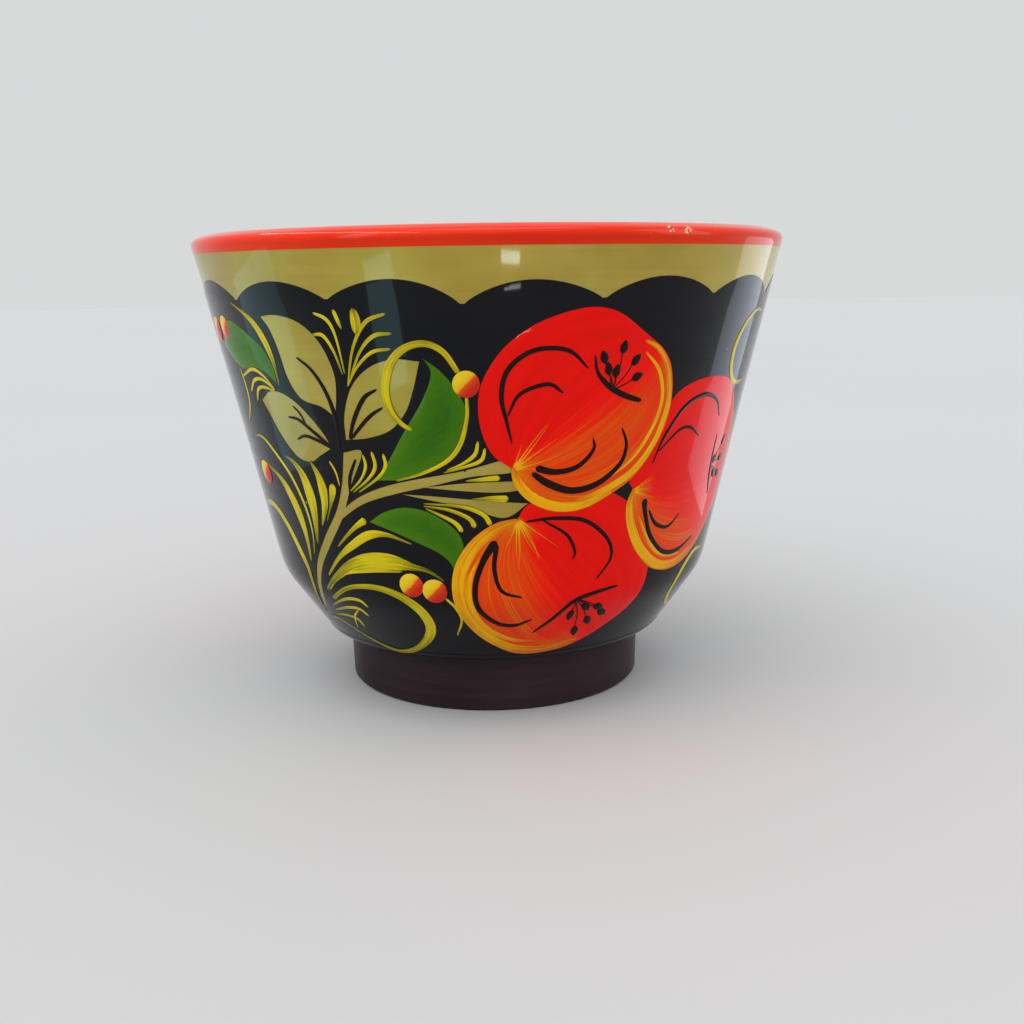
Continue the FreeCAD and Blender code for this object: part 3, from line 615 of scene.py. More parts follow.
# %% [markdown]
# ## The black ground
# In this craft the background is painted last but one: black goes round the gold shapes and leaves them
# open.  Its upper edge is a row of free-hand arches.  We fill the unrolled wall with triangles, leave the
# gold windows out, and roll it round the bowl.  Each arch differs a little, as by hand.  Where the wall
# turns in to the foot it bends too sharply for those triangles, so a turned ledge of the same paint carries
# on.

# %% Arches and windows
ARCHES, FIRST_VALLEY, PEAK, VALLEY = 15, -4.4, 74.1, 70.4
LEDGE_TOP = part_way(SHOULDER, CHINE, 0.08)
SEAM = -100.0            # where the unrolled wall is cut, between the bouquets
# Gold shapes that the black leaves open: two edges each, from base to tip, as (degrees round, height).
WINDOWS = [
    ([(-31.3, 53.2), (-34.2, 54.8), (-39.2, 55.9), (-41.7, 59), (-42.6, 63.5), (-43.8, 66.8),
      (-45.6, 68.7)],
     [(-31.3, 53.2), (-30.1, 56.5), (-29.6, 60), (-31, 64), (-33.6, 66.8), (-37, 68.4), (-41.5, 69),
      (-45.6, 68.7)]),
    ([(-33.6, 48.2), (-37.1, 46.8), (-40.5, 45.5), (-44.7, 46.1), (-48.7, 49.3), (-51.4, 53), (-53, 55)],
     [(-33.6, 48.2), (-35.6, 51), (-39.8, 54.5), (-44, 56.4), (-48.5, 56.7), (-53, 55)]),
    ([(-29.7, 49.7), (-29.1, 53.5), (-26.4, 58.1), (-22.1, 61.2), (-17.2, 62.5), (-12.4, 62.2)],
     [(-29.7, 49.7), (-24.4, 50.2), (-19.4, 51.6), (-16, 54.4), (-14, 58), (-12.4, 62.2)]),
    ([(-57.5, 16.2), (-51, 21.2), (-47, 27.4), (-41.6, 32.5), (-36.2, 37.3), (-33, 42), (-30.9, 47.6)],
     [(-57.5, 16.2), (-50, 20.5), (-45.4, 26.6), (-40, 31.4), (-34.6, 36.4), (-30.3, 42.4),
      (-26.4, 47.9), (-30.9, 47.6)]),
    ([(-38.2, 34.3), (-34.6, 37.4), (-29, 40.3), (-22, 42.5), (-14.6, 43.9), (-6, 45.2), (1.5, 46.8)],
     [(-38.2, 34.3), (-33.6, 36.8), (-27.6, 39.4), (-20, 41.3), (-12, 42.8), (-4, 44.3), (4.4, 45),
      (1.5, 46.8)]),
    ([(-14, 42.5), (-5, 43.3), (5, 43.5)], [(-14, 42.5), (-6, 42), (1, 41.7), (5.6, 42.1), (5, 43.5)]),
    ([(-19, 41.3), (-12, 41.1), (-4, 40.6), (7.4, 39.8)],
     [(-19, 41.3), (-12, 40.3), (-5, 39.3), (2.4, 37.5), (7.4, 39.8)]),
]


def two_edges(one, other, step=0.7):
    """One closed outline from two smooth lines that share their ends."""
    return np.vstack([smooth(one, step=step)[:-1], smooth(other, step=step)[::-1][:-1]])[:, :2]


def scalloped_edge():
    """The arches once round from the seam, with the free-hand unevenness of a brush."""
    wobble = random.Random(3)
    span = 360 / ARCHES
    peaks = [PEAK + wobble.uniform(-0.4, 0.4) for _ in range(ARCHES)]
    valleys = [VALLEY + wobble.uniform(-0.5, 0.8) for _ in range(ARCHES)]
    angles = SEAM + np.arange(0, 360.01, 0.8)
    turns = (angles - FIRST_VALLEY) / span
    which = np.floor(turns).astype(int) % ARCHES
    share = turns - np.floor(turns)
    arch = np.sin(np.pi * share) ** 0.72
    floor_z = np.array(valleys)[which] * (1 - share) + np.array(valleys)[(which + 1) % ARCHES] * share
    return np.column_stack([angles, floor_z + (np.array(peaks)[which] - floor_z) * arch])


def ground_shape():
    top = scalloped_edge()
    low = LEDGE_TOP[1] - 0.2
    steps = np.arange(low, top[0, 1], 1.6)[1:-1]
    left, right = (np.column_stack([np.full(len(steps), angle), steps]) for angle in (SEAM, SEAM + 360))
    around = SEAM + np.arange(0, 360.01, 1.6)
    bottom = np.column_stack([around, np.full(len(around), low)])
    outline = np.vstack([bottom, right, top[::-1], left[::-1]])
    holes = [two_edges(*window) + (turn, 0) for turn in (0, 180) for window in WINDOWS]
    return shape(outline, "ground", 1.9, holes=holes, edge=0.05)


# %% Lay the black ground
LEDGE_INNER, LEDGE_OUTER = -0.02, 0.105              # mm from the gold coat's surface
turned_coat("black_ground_ledge", [FOOT_JOIN, SHOULDER, LEDGE_TOP], LEDGE_INNER, LEDGE_OUTER,
            GROUND, step=0.5)
painted("black_ground_coat", [ground_shape()], GROUND, ["black_ground"])

# %% [markdown]
# ## Fruit
# Each fruit is one loaded-brush shape: red for the cheek, with orange and yellow pulled in wet along the
# side that catches the light.  Streaks drawn on a flat map would blur, so we give the paint a grain: it
# runs in arcs from stalk to crown, as the brush did.  `swept` works out these arcs and gives each point its
# tone: how near it is to the lit edge, and how far round from the stalk it lies.

# %% Fruit outlines: the lit edge and the far edge, from stalk to crown, as (degrees round, height)
# `width` is how many mm the lit band reaches in, `fan` how far in radians the glow opens round the stalk,
# `crown` the place that the arcs run to, and `under` names the fruit that lie in front of this one.
FRUITS = {
    "upper": {"lit": [(4.2, 45.4), (4.9, 43.4), (7.5, 41), (11.6, 39.2), (16, 38.5), (20.5, 38.8),
                      (26.2, 40.8), (30.6, 43.1), (34.4, 46.9), (36.9, 51.4), (37.2, 55.6), (35.8, 60),
                      (33.2, 63), (28, 66)],
              "far": [(4.2, 45.4), (0.4, 47.7), (-1.6, 51), (-2.3, 55), (-1.4, 59.2), (2.3, 64),
                      (7.6, 67.4), (13.6, 69.3), (18.5, 69.8), (23, 68.8), (28, 66)],
              "width": 4.6, "fan": 0.20, "crown": (26.5, 59.5), "under": []},
    "right": {"lit": [(31, 40.6), (30.2, 38), (31.2, 34), (34.1, 30.3), (39.3, 26.6), (46.6, 25.1),
                      (53.9, 25.8), (61.1, 28.7), (67.4, 33.7), (70.6, 38)],
              "far": [(31, 40.6), (29.4, 43), (32.5, 47.5), (35.5, 52), (38.5, 55.8), (43.2, 57.5),
                      (49, 58), (55.3, 57.5), (60.5, 55.6), (65.6, 51.3), (69.4, 45.5), (70.6, 38)],
              "width": 4.4, "fan": -0.15, "crown": (61.5, 42.5), "under": ["upper"]},
    "lower": {"lit": [(5.2, 37.3), (1, 36.8), (-3.4, 34.5), (-7, 30.8), (-8.8, 25.8), (-7.7, 20.7),
                      (-3.8, 16.3), (3, 13), (9.9, 12), (19.9, 12.6), (27.5, 14.5), (34, 17.4)],
              "far": [(5.2, 37.3), (7.3, 39.6), (13, 41.2), (20, 41.5), (26, 40.5), (31.5, 37.8),
                      (36, 33.4), (38.9, 28), (39.1, 23.6), (37, 19.6), (34, 17.4)],
              "width": 5.2, "fan": -0.05, "crown": (24.5, 20), "under": ["upper", "right"]},
}


# %% How the brush swept each fruit
BEYOND_CROWN = 1.35      # the arcs meet again a little past the crown


def swept(fruit):
    """The paint function of a fruit: grain along arcs from stalk to crown, tone by the lit edge."""
    def paint(flat, depth):
        to_flat = (math.radians(radius_at(fruit["outline"][:, 1].mean())), 1)
        stalk, crown, lit_side = (np.multiply(p, to_flat) for p in (fruit["lit"][0], fruit["crown"],
                                                                    fruit["lit"][4]))
        away, ahead = flat - stalk, flat - stalk - (crown - stalk) * BEYOND_CROWN
        reach = np.linalg.norm(away, axis=1)
        seen = np.arctan2(np.cross(away, ahead), (away * ahead).sum(axis=1))
        arc = seen % (2 * math.pi) - math.pi      # the same all along one arc through both ends
        axis = math.atan2(*(crown - stalk)[::-1])
        swing = (np.arctan2(away[:, 1], away[:, 0]) - axis + math.pi) % (2 * math.pi) - math.pi
        near = distance(flat, smooth(fruit["lit"][:-2]) * to_flat, closed=False)
        side = np.sign(np.cross(crown - stalk, lit_side - stalk))
        band = np.clip(1 - near / fruit["width"], 0, 1)
        fan = np.clip((swing * side + fruit["fan"]) / 0.55, 0, 1)
        fan = fan * fan * (3 - 2 * fan)
        ahead_of_stalk = np.clip((swing * side + 0.7) / 0.5, 0, 1)     # no glow behind the stalk
        heart = np.clip(1 - reach / 5, 0, 1) * ahead_of_stalk
        tone = 0.14 + np.maximum(0.66 * band ** 0.7 * ahead_of_stalk, 0.40 * fan) + heart * 0.12
        wet = np.clip((swing * side + fruit["fan"] + 0.35) / 0.5, 0, 1) * np.clip(1.25 - reach / 40, 0.3, 1)
        grain = np.column_stack([reach, arc * 10, np.maximum(wet, heart)])
        return grain, np.clip(tone, 0, 1)
    return paint


# %% Whole outlines, and how one fruit hides behind another
for fruit in FRUITS.values():
    fruit["outline"] = two_edges(fruit["lit"], fruit["far"])


def behind(outline, fronts):
    """An outline with its points that lie behind nearer shapes moved onto the nearest point of their edge.
    """
    kept = outline.copy()
    for front in fronts:
        scale = math.radians(radius_at(front[:, 1].mean()))
        flat, loop = kept * (scale, 1), front * (scale, 1)
        for i in np.flatnonzero(inside(flat, loop)):
            nearest = loop[np.argmin(np.linalg.norm(loop - flat[i], axis=1))]
            kept[i] = nearest / (scale, 1)
    return kept


# %% Dark strokes, crown threads and seeds drawn on the fruit
FRUIT_STROKES = {
    "upper": [[(3.9, 49.6, 0.3), (2.9, 53, 0.55), (1.95, 57, 0.75), (3.2, 61, 0.8), (7.6, 63.7, 0.75),
               (13.6, 63.6, 0.65), (17.6, 60.8, 0.3)],
              [(3.1, 53.9, 0.3), (5.3, 57.2, 0.6), (10.3, 58.6, 0.65), (13.2, 57.2, 0.35)],
              [(8.6, 45.6, 1.2), (12.6, 44.8, 0.95), (17.2, 45.5, 0.8), (20.2, 48, 0.6),
               (19.9, 49.9, 0.3)],
              [(7.9, 44.8, 0.8), (11.5, 42.9, 1.2), (16.5, 41.6, 1.1), (22, 42.5, 1.0),
               (26.5, 45.3, 0.8), (27.5, 48.3, 0.6), (26, 51.2, 0.3)],
              [(18.7, 62.7, 0.35), (19.6, 60, 0.6), (22.4, 57.7, 0.9), (26, 56.2, 0.9),
               (29.5, 55.3, 0.7)]],
    "right": [[(34.9, 44.7, 0.3), (37.2, 49.2, 0.6), (41.6, 53.7, 0.75), (47.5, 55.2, 0.75),
               (53, 53.9, 0.6), (55.9, 51, 0.3)],
              [(36.2, 46.7, 0.3), (41.2, 49.8, 0.55), (45, 49.9, 0.55), (48.6, 48.2, 0.3)],
              [(34.4, 38.9, 1.3), (35.4, 36.2, 0.9), (38.2, 32.1, 0.9), (43.5, 28.8, 0.9),
               (49.7, 28.3, 0.8), (56, 29.9, 0.4)],
              [(36.2, 36.8, 0.4), (39.1, 34.2, 0.7), (43.5, 33.2, 0.6), (47.2, 35, 0.3)],
              [(57.3, 47.7, 0.35), (57.4, 44, 0.7), (58.2, 40.5, 0.8), (59.8, 37, 0.4)]],
    "lower": [[(0.6, 33.8, 1.4), (-2.2, 30.4, 1.0), (-4.1, 26.2, 0.9), (-3.7, 22.2, 0.9),
               (0.4, 19.2, 0.8), (5, 18.5, 0.7), (9.3, 19.6, 0.3)],
              [(0.8, 33.2, 0.8), (0.2, 29, 0.7), (1.8, 25.2, 0.6), (6.4, 23.9, 0.35)],
              [(6.9, 36.9, 0.35), (13.3, 37.2, 0.65), (19.9, 36.4, 0.7), (25.6, 33.1, 0.65),
               (27.4, 29.6, 0.55), (24.2, 26, 0.3)],
              [(10.6, 36.9, 0.3), (15.9, 34.3, 0.55), (18.1, 31.4, 0.5), (17.8, 30, 0.3)],
              [(10.1, 16.7, 0.35), (14.4, 19.2, 0.7), (19.2, 22.5, 0.8), (24.9, 23.7, 0.75),
               (30.5, 24.3, 0.4)]],
}
# Middles of the seeds, and the root of each crown's threads.
SEEDS = {"upper": [(24.2, 63.7), (27, 61.7), (27.7, 59.1), (23.2, 60.1), (21.6, 60.5), (20.5, 62.3)],
         "right": [(62.3, 46.3), (58.9, 43.3), (62.9, 43.2), (63.6, 40.3), (60.5, 40.6)],
         "lower": [(22.7, 21.2), (28.2, 19.5), (24.7, 18.3), (19.2, 19.9), (22.1, 16.3), (26.2, 20.9)]}
ROOTS = {"upper": (22.6, 57.2), "right": (57.2, 42.5), "lower": (19.4, 23)}

# %% Golden strokes along the lit edge, and hair-thin pulls out of the stalk
EDGINGS = {
    "upper": [[(4.1, 45.8, 0.6), (5.1, 43.4, 1.3), (8, 40.9, 1.6), (13, 39.2, 1.7), (19, 39.2, 1.5),
               (25.6, 41.2, 1.0)],
              [(17, 39.9, 0.4), (24.5, 41.6, 1.2), (30.4, 44.3, 1.3), (34.4, 48.4, 1.2),
               (36.1, 52.8, 1.1), (36.2, 56, 1.0), (34.6, 60.3, 0.9), (31.8, 63.3, 0.8),
               (28.6, 64.6, 0.5)],
              [(22, 42.2, 0.3), (29, 45.8, 0.7), (33.2, 50.5, 0.8), (34.6, 55.2, 0.8),
               (32.8, 59.7, 0.7), (29, 62.9, 0.4)]],
    "right": [[(31, 41, 0.6), (30.5, 38, 1.3), (32.2, 34, 1.7), (36, 29.9, 1.8), (42, 26.8, 1.7),
               (49, 26.2, 1.3), (56.5, 27.9, 0.8)],
              [(33, 36.5, 0.4), (37.8, 31.2, 0.9), (44, 28.1, 0.9), (51, 27.6, 0.4)]],
    "lower": [[(5.4, 37.2, 0.7), (1, 36, 1.6), (-3.6, 33.2, 2.1), (-7, 29, 2.3), (-7.8, 24.5, 2.3),
               (-6, 20, 2.2), (-1.6, 16.2, 2.0), (5, 13.7, 1.6), (14, 13.1, 1.1), (24, 14.4, 0.6)],
              [(-2.6, 31.4, 0.4), (-5.4, 27, 1.0), (-5.4, 22.6, 1.1), (-2.4, 18.4, 1.0), (4, 15.6, 0.8),
               (12, 14.7, 0.3)]],
}
# Each fan of pulls: its first and last direction in degrees, and the longest reach in mm.
PULLS = {"upper": (5, 72, 9.0), "right": (-30, 32, 6.0), "lower": (-105, -40, 9.0)}
PULL_COUNT = 7
PULL_TAPER = ((0.04, 0.50), (0.3, 0.34), (0.65, 0.22), (1.0, 0.12))   # share of the way, and width there


def pulls(which, turn):
    """A fan of fine curved strokes from the stalk, each bending a little either way at random."""
    first, last, reach = PULLS[which]
    angle, height = FRUITS[which]["lit"][0]
    scale = math.radians(radius_at(height))
    hand, parts = random.Random(which), []
    for k in range(PULL_COUNT):
        way = math.radians(first + (last - first) * (k + hand.uniform(-0.3, 0.3)) / (PULL_COUNT - 1))
        length = reach * hand.uniform(0.45, 1.0)
        bend = math.radians(hand.uniform(-14, 14))
        line = []
        for share, width in PULL_TAPER:
            far, turned = length * share, way + bend * share
            line.append((angle + far * math.cos(turned) / scale, height + far * math.sin(turned), width))
        parts.append(stroke(line, "pull", turn))
    return parts


# %% Seeds on their threads, in the crown
TO_TIP, TO_TAIL, SEED_WIDTH = 1.15, 0.95, 1.35       # from a seed's middle to its ends, and across it
THREAD_WIDTHS = (0.22, 0.2, 0.2)
THREAD_SAG = 0.4                                     # degrees that a thread's middle swings out


def seeds(which, turn):
    """Seeds lean away from the crown's root, each on a hair-thin thread."""
    root, parts = ROOTS[which], []
    for angle, height in SEEDS[which]:
        scale = math.radians(radius_at(height))
        way = Vector(((angle - root[0]) * scale, height - root[1])).normalized()
        tip = (angle + way.x * TO_TIP / scale, height + way.y * TO_TIP, 0.5)
        tail = (angle - way.x * TO_TAIL / scale, height - way.y * TO_TAIL, 0.7)
        parts.append(stroke([tail, (angle, height, SEED_WIDTH), tip], "seed", turn))
        middle = ((root[0] + angle) / 2 + THREAD_SAG, (root[1] + height) / 2)
        thread = [(*spot, width) for spot, width in zip((root, middle, tail[:2]), THREAD_WIDTHS)]
        parts.append(stroke(thread, "thread", turn))
    return parts


# %% Paint the fruit
def paint_fruit(place_name, turn):
    for which, fruit in FRUITS.items():
        fronts = [FRUITS[f]["outline"] for f in fruit["under"]]
        outline = behind(fruit["outline"], fronts)
        body = shape(outline, "fruit", 0.8, turn, edge=0.8, paint=swept(fruit))
        painted(f"{place_name}_fruit_{which}_body", [body], FRUIT,
                [f"{place_name}_fruit_{which}"])
        edging = [stroke(s, "edging", turn) for s in EDGINGS[which]] + pulls(which, turn)
        painted(f"{place_name}_fruit_{which}_edging", edging, EDGING)
    lines = [stroke(s, "fruit_line", turn) for group in FRUIT_STROKES.values() for s in group]
    lines += [p for which in SEEDS for p in seeds(which, turn)]
    painted(f"{place_name}_fruit_line_work", lines, LINE, [f"{place_name}_fruit_lines"])


for place_name, turn in (("front", 0), ("back", 180)):
    paint_fruit(place_name, turn)

# %% [markdown]
# ## Leaves, curls, grass and berries
# The thin yellow work is drawn with the point of a soft brush in one pull each: press for the head, lift
# for the tail.  So each is a stroke whose width swells and thins, which a pipe of even width can't show.
# Green leaves are filled between two edges, darker in the heart and towards the tip.

# %% Green leaves
GREENS = {
    "upper": ([(-23.8, 43.4), (-20.4, 46.9), (-16.8, 51.2), (-13.1, 55.5), (-10.9, 59), (-10.5, 61),
               (-11.6, 62.6)],
              [(-23.8, 43.4), (-17, 43.9), (-11, 45.8), (-7.2, 48.3), (-5.3, 51.7), (-4.5, 54.8),
               (-6.2, 58), (-8.8, 60.8), (-11.6, 62.6)]),
    "lower": ([(-27.2, 36.3), (-23.4, 38.1), (-18.5, 39.1), (-13.5, 38.5), (-8.5, 36.1), (-6.4, 33.4),
               (-6.9, 30.4), (-7.5, 26.3)],
              [(-27.2, 36.3), (-22, 35), (-16.5, 33.3), (-11.5, 31.5), (-8.9, 29.2), (-9.4, 26.2),
               (-7.5, 26.3)]),
    "side": ([(-45.4, 58.2), (-45.3, 60.6), (-47.1, 63.5), (-51, 65.7), (-56.4, 67.7), (-61, 67.4),
              (-65.5, 63.5)],
             [(-45.4, 58.2), (-48.3, 59.8), (-52.5, 60.5), (-58.5, 60.2), (-65.5, 63.5)]),
}
LEAF_HEART = 3.0         # mm in from the edge to where a leaf is darkest


def leaf_paint(flat, depth):
    """Dark teal in the heart and towards the tip, yellow-green at the edge and the base."""
    run = flat[:, 0] + flat[:, 1] * 0.6
    along = (run - run.min()) / (run.max() - run.min())
    heart = np.clip(depth / LEAF_HEART, 0, 1)
    tone = 0.80 - 0.30 * heart - 0.22 * along
    return np.column_stack([run, flat[:, 1] - flat[:, 0] * 0.6, depth]), tone


# %% Long yellow leaves and curls: each point is degrees round, height and width
LEAVES = {
    1: [[(-45.5, 22.6, 0.8), (-40.9, 25.3, 1.5), (-35, 28, 2.6), (-29.2, 29.3, 3.9), (-23.4, 29.6, 3.7),
         (-18, 29, 1.5), (-14.5, 28.4, 0.8), (-11.2, 26.8, 0.3)],
        [(-44.5, 22.9, 0.5), (-38, 26.3, 0.7), (-29.2, 27.6, 0.6), (-21, 28.1, 0.4)]],
    2: [[(-43.2, 25.6, 0.5), (-38, 29.3, 1.0), (-33, 31.9, 1.7), (-28, 34, 1.9), (-23.4, 34.3, 1.0),
         (-17.9, 33, 0.3)],
        [(-37.7, 31.2, 0.4), (-32.1, 34.7, 0.9), (-28.2, 36.6, 1.7)]],
    3: [[(-49.2, 27.4, 0.5), (-48.6, 31.5, 1.4), (-49.2, 35.5, 2.5), (-51, 39, 2.5), (-54, 41.8, 1.4),
         (-60, 44, 0.3)]],
    4: [[(-44.6, 31, 0.5), (-43.4, 35.7, 1.9), (-43.2, 39.5, 3.0), (-44.1, 42.8, 2.3), (-46.3, 45, 1.1),
         (-49.1, 46, 0.3)]],
    5: [[(-41.4, 34.5, 0.4), (-39.2, 38, 1.7), (-38.6, 41, 2.5), (-39.2, 43.6, 1.6), (-40.7, 45.7, 0.4)]],
    6: [[(-44.7, 57.9, 0.5), (-44.7, 61, 1.1), (-45.8, 64.6, 1.9), (-48, 67.5, 1.7), (-51, 69.3, 0.9),
         (-55, 70.9, 0.3)]],
}
CURLS = {
    "upper": [(-8.5, 54.1, 0.3), (-11.8, 52.1, 0.55), (-15.5, 51.9, 0.9), (-18.4, 54.1, 1.3),
              (-19.4, 57.4, 1.7), (-18.2, 61.2, 1.8), (-15.4, 63.9, 1.5), (-11.5, 64.9, 1.3),
              (-8.1, 63.7, 1.2), (-5.5, 60.4, 1.0)],
    "lower": [(-55.5, 15.8, 0.7), (-49.6, 16, 0.8), (-41, 13.4, 0.8), (-32, 11.6, 0.9),
              (-25.5, 12.2, 1.2), (-20, 14.4, 1.7), (-16.9, 17.4, 2.3), (-17.6, 20.7, 2.4),
              (-21.2, 23.2, 1.9), (-26.5, 24.6, 1.5), (-32.1, 24.7, 1.2), (-38, 23.7, 1.0),
              (-45, 21, 0.8)],
    "side": [(69, 67.8, 0.4), (64.2, 68.3, 0.8), (59.3, 66.6, 1.2), (56.3, 63.4, 1.5), (56, 60, 1.5),
             (58.3, 57.2, 1.3), (62.3, 56.2, 1.0), (67.5, 56.6, 0.5)],
}

# %% Grass, and the veins of the gold leaves
GRASS = [
    [(-27.1, 60.3, 0.3), (-27.7, 65.9, 0.6), (-29, 68.4, 0.8), (-31.6, 69.4, 0.5)],
    [(-27.6, 60.1, 0.3), (-28.7, 63.7, 0.6), (-30.4, 66, 0.8), (-32.7, 66.1, 0.5)],
    [(-26.9, 58.4, 0.3), (-24.6, 64.1, 0.6), (-21.4, 68, 0.8), (-17.5, 69.3, 0.5)],
    [(-26.8, 58.4, 0.3), (-23.4, 63.5, 0.6), (-20.2, 66, 0.8), (-16.8, 66.4, 0.5)],
    [(-27, 58.3, 0.3), (-24.2, 61.4, 0.55), (-20.9, 63.6, 0.7), (-17.3, 64.1, 0.5)],
    [(-23.4, 66.3, 1.3), (-23.2, 68.2, 2.2), (-23.4, 70.1, 1.2)],
    [(-26.2, 67, 0.4), (-26.8, 68.5, 0.9), (-27.3, 69.9, 0.8)],
    [(-46.5, 57.2, 0.4), (-49.7, 59.3, 0.7), (-53.4, 60.1, 0.8), (-58.6, 58.8, 0.5)],
    [(-46.4, 57, 0.4), (-50, 58.5, 0.7), (-53.6, 58.3, 0.8), (-56.6, 56.3, 0.6)],
    [(-46.4, 56.8, 0.4), (-50.2, 57.3, 0.7), (-53, 56.8, 0.8), (-54.8, 54.8, 0.6)],
    [(-30.1, 41.1, 0.3), (-26, 43.4, 0.6), (-23.8, 45.6, 0.8), (-24.1, 48.1, 0.6)],
    [(-28.6, 41.2, 0.3), (-23.6, 43.8, 0.6), (-21.5, 45.7, 0.8), (-21.6, 47.8, 0.6)],
    [(-30.7, 41.3, 0.3), (-27.6, 43.4, 0.5), (-26, 45.6, 0.7), (-26.2, 47.5, 0.5)],
    [(-2.5, 50, 0.5), (-3.2, 47.9, 0.8), (-5.7, 46.4, 0.6), (-8.8, 45.4, 0.3)],
    [(-1.2, 48.9, 0.5), (-2, 47, 0.8), (-5, 46, 0.6), (-9.4, 45, 0.3)],
    [(-4.3, 57, 0.6), (-4.4, 53.8, 0.8), (-5.8, 49.7, 0.9), (-8.5, 47, 0.9), (-13.5, 45, 0.8),
     (-19.5, 43.5, 0.4)],
    [(-33.1, 20.7, 0.6), (-34.8, 21.8, 0.8), (-39.5, 21.6, 0.7), (-47.9, 19.2, 0.3)],
    [(-34.8, 18.6, 0.7), (-36.6, 19.9, 0.8), (-40.9, 19.7, 0.7), (-48.5, 18.2, 0.3)],
    [(-39.5, 15.8, 0.6), (-40.2, 17.3, 0.8), (-44, 17.7, 0.6), (-49.6, 17.2, 0.3)],
    [(-36.9, 19.8, 0.3), (-40.8, 17.8, 0.5), (-43.2, 15.1, 0.3)],
    [(-11.2, 23.8, 0.5), (-9, 22, 0.6), (-8.1, 19.5, 0.5), (-10, 16.3, 0.25)],
    [(-6.4, 35.3, 1.0), (-8.2, 37, 0.9), (-13.8, 39.1, 0.4)],
    [(-3.7, 36, 1.1), (-4.8, 37.5, 0.9), (-8.8, 38.9, 0.7), (-14.2, 39.5, 0.3)],
    [(-0.4, 36.4, 1.1), (-2, 38.2, 0.9), (-6.5, 39.5, 0.7), (-14.2, 39.9, 0.3)],
    [(1.6, 44.1, 1.2), (-1, 44, 1.0), (-5.2, 43.7, 0.3)],
    [(3.3, 40.7, 1.5), (0, 40.8, 1.1), (-4.2, 40.7, 0.3)],
    [(-35.4, 42.2, 1.3), (-35.7, 41, 1.8), (-37.2, 38.4, 0.7), (-39.3, 35.6, 0.3)],
    [(-34.9, 46, 0.5), (-33.8, 44.3, 0.5), (-33.4, 42, 0.3)],
    [(-62, 48.4, 0.3), (-57.5, 48.4, 0.6), (-53, 46.1, 0.8), (-48.6, 42.4, 0.9), (-46, 37.5, 0.8),
     (-45.6, 33, 0.5), (-46.9, 29, 0.3)],
    [(-70, 35.7, 0.8), (-62.5, 36, 1.6), (-57, 33.2, 1.8), (-53.2, 28.6, 1.7), (-51.4, 25, 1.2),
     (-52.2, 21.6, 0.8), (-55.8, 18, 0.4)],
    [(-59.4, 60.2, 0.5), (-58.9, 57.3, 0.7), (-59.6, 54, 0.7), (-63.4, 50.7, 0.4)],
    [(66, 26.6, 0.6), (60, 26.4, 1.2), (55, 23.6, 1.5), (54.6, 20, 1.4), (59, 17, 1.1),
     (67.4, 14.9, 0.5)],
]
VEINS = [
    [(-37.9, 62.5, 0.3), (-34.8, 60.6, 0.55), (-32.4, 57.3, 0.7), (-31.3, 53.3, 0.8),
     (-31.5, 48.3, 0.8)],
    [(-44.4, 52.7, 0.3), (-41.4, 52.4, 0.5), (-37.8, 50.6, 0.6), (-33.5, 48.2, 0.6)],
    [(-42.2, 54.6, 0.25), (-40.6, 53.5, 0.35), (-39.6, 51.9, 0.3)],
    [(-43.1, 49.1, 0.3), (-40.4, 49.8, 0.5), (-36.9, 49.2, 0.55), (-33, 48, 0.5)],
    [(-21.1, 57.9, 0.35), (-24, 56.5, 0.7), (-26.9, 53.1, 0.7), (-28.7, 49.9, 0.5)],
    [(-20.4, 55.1, 0.35), (-23.6, 53.5, 0.6), (-28.4, 49.9, 0.5)],
    [(-28.2, 46.6, 0.4), (-30.4, 43.5, 0.6), (-31.2, 40.4, 0.3)],
]


# %% Berries: degrees round and height of each
BERRIES = [(-4.3, 58.8), (-19.1, 25.8), (-13.6, 25.0), (-61.5, 66.6), (-67.5, 66.3), (-61.2, 42)]
BERRY_SIZE = 2.05        # radius in mm


def berry(angle, height, turn):
    """A round dab; its tone runs from the pale upper left to the red lower right."""
    scale = math.radians(radius_at(height))
    circle = [(angle + BERRY_SIZE / scale * math.cos(a), height + BERRY_SIZE * math.sin(a))
              for a in np.arange(12) * math.pi / 6]

    def paint(flat, depth):
        across = (flat[:, 0] - angle * scale - flat[:, 1] + height) / (BERRY_SIZE * 2)
        return np.column_stack([flat, depth]), np.clip(0.50 + across * 1.3, 0, 1)
    return shape(smooth(circle, closed=True)[:, :2], "berry", 0.45, turn, edge=1.6, paint=paint)


# %% Paint them round the bowl
SLIM = 0.76              # the yellow work is pulled a little thinner than it is sketched above


def slim(line):
    return [(angle, height, width * SLIM) for angle, height, width in line]


def paint_leaves(place_name, turn):
    for which, (one, other) in GREENS.items():
        leaf = shape(two_edges(one, other), "green_leaf", 0.8, turn, edge=0.8, paint=leaf_paint)
        painted(f"{place_name}_green_leaf_{which}_paint", [leaf], GREEN,
                [f"{place_name}_green_leaf_{which}"])
    for which, strokes in LEAVES.items():
        leaf = [stroke(slim(s), "yellow_leaf", turn) for s in strokes]
        painted(f"{place_name}_yellow_leaf_{which}_strokes", leaf, YELLOW,
                [f"{place_name}_yellow_leaf_{which}"])
    for which, line in CURLS.items():
        painted(f"{place_name}_curl_{which}_stroke", [stroke(slim(line), "curl", turn)],
                YELLOW, [f"{place_name}_curl_{which}"])
    painted(f"{place_name}_grass", [stroke(slim(s), "grass", turn) for s in GRASS], YELLOW,
            [f"{place_name}_grass_strokes"])
    painted(f"{place_name}_gold_leaf_veins", [stroke(s, "vein", turn) for s in VEINS],
            LINE)
    painted(f"{place_name}_berry_dabs", [berry(*b, turn) for b in BERRIES], BERRY,
            [f"{place_name}_berries"])


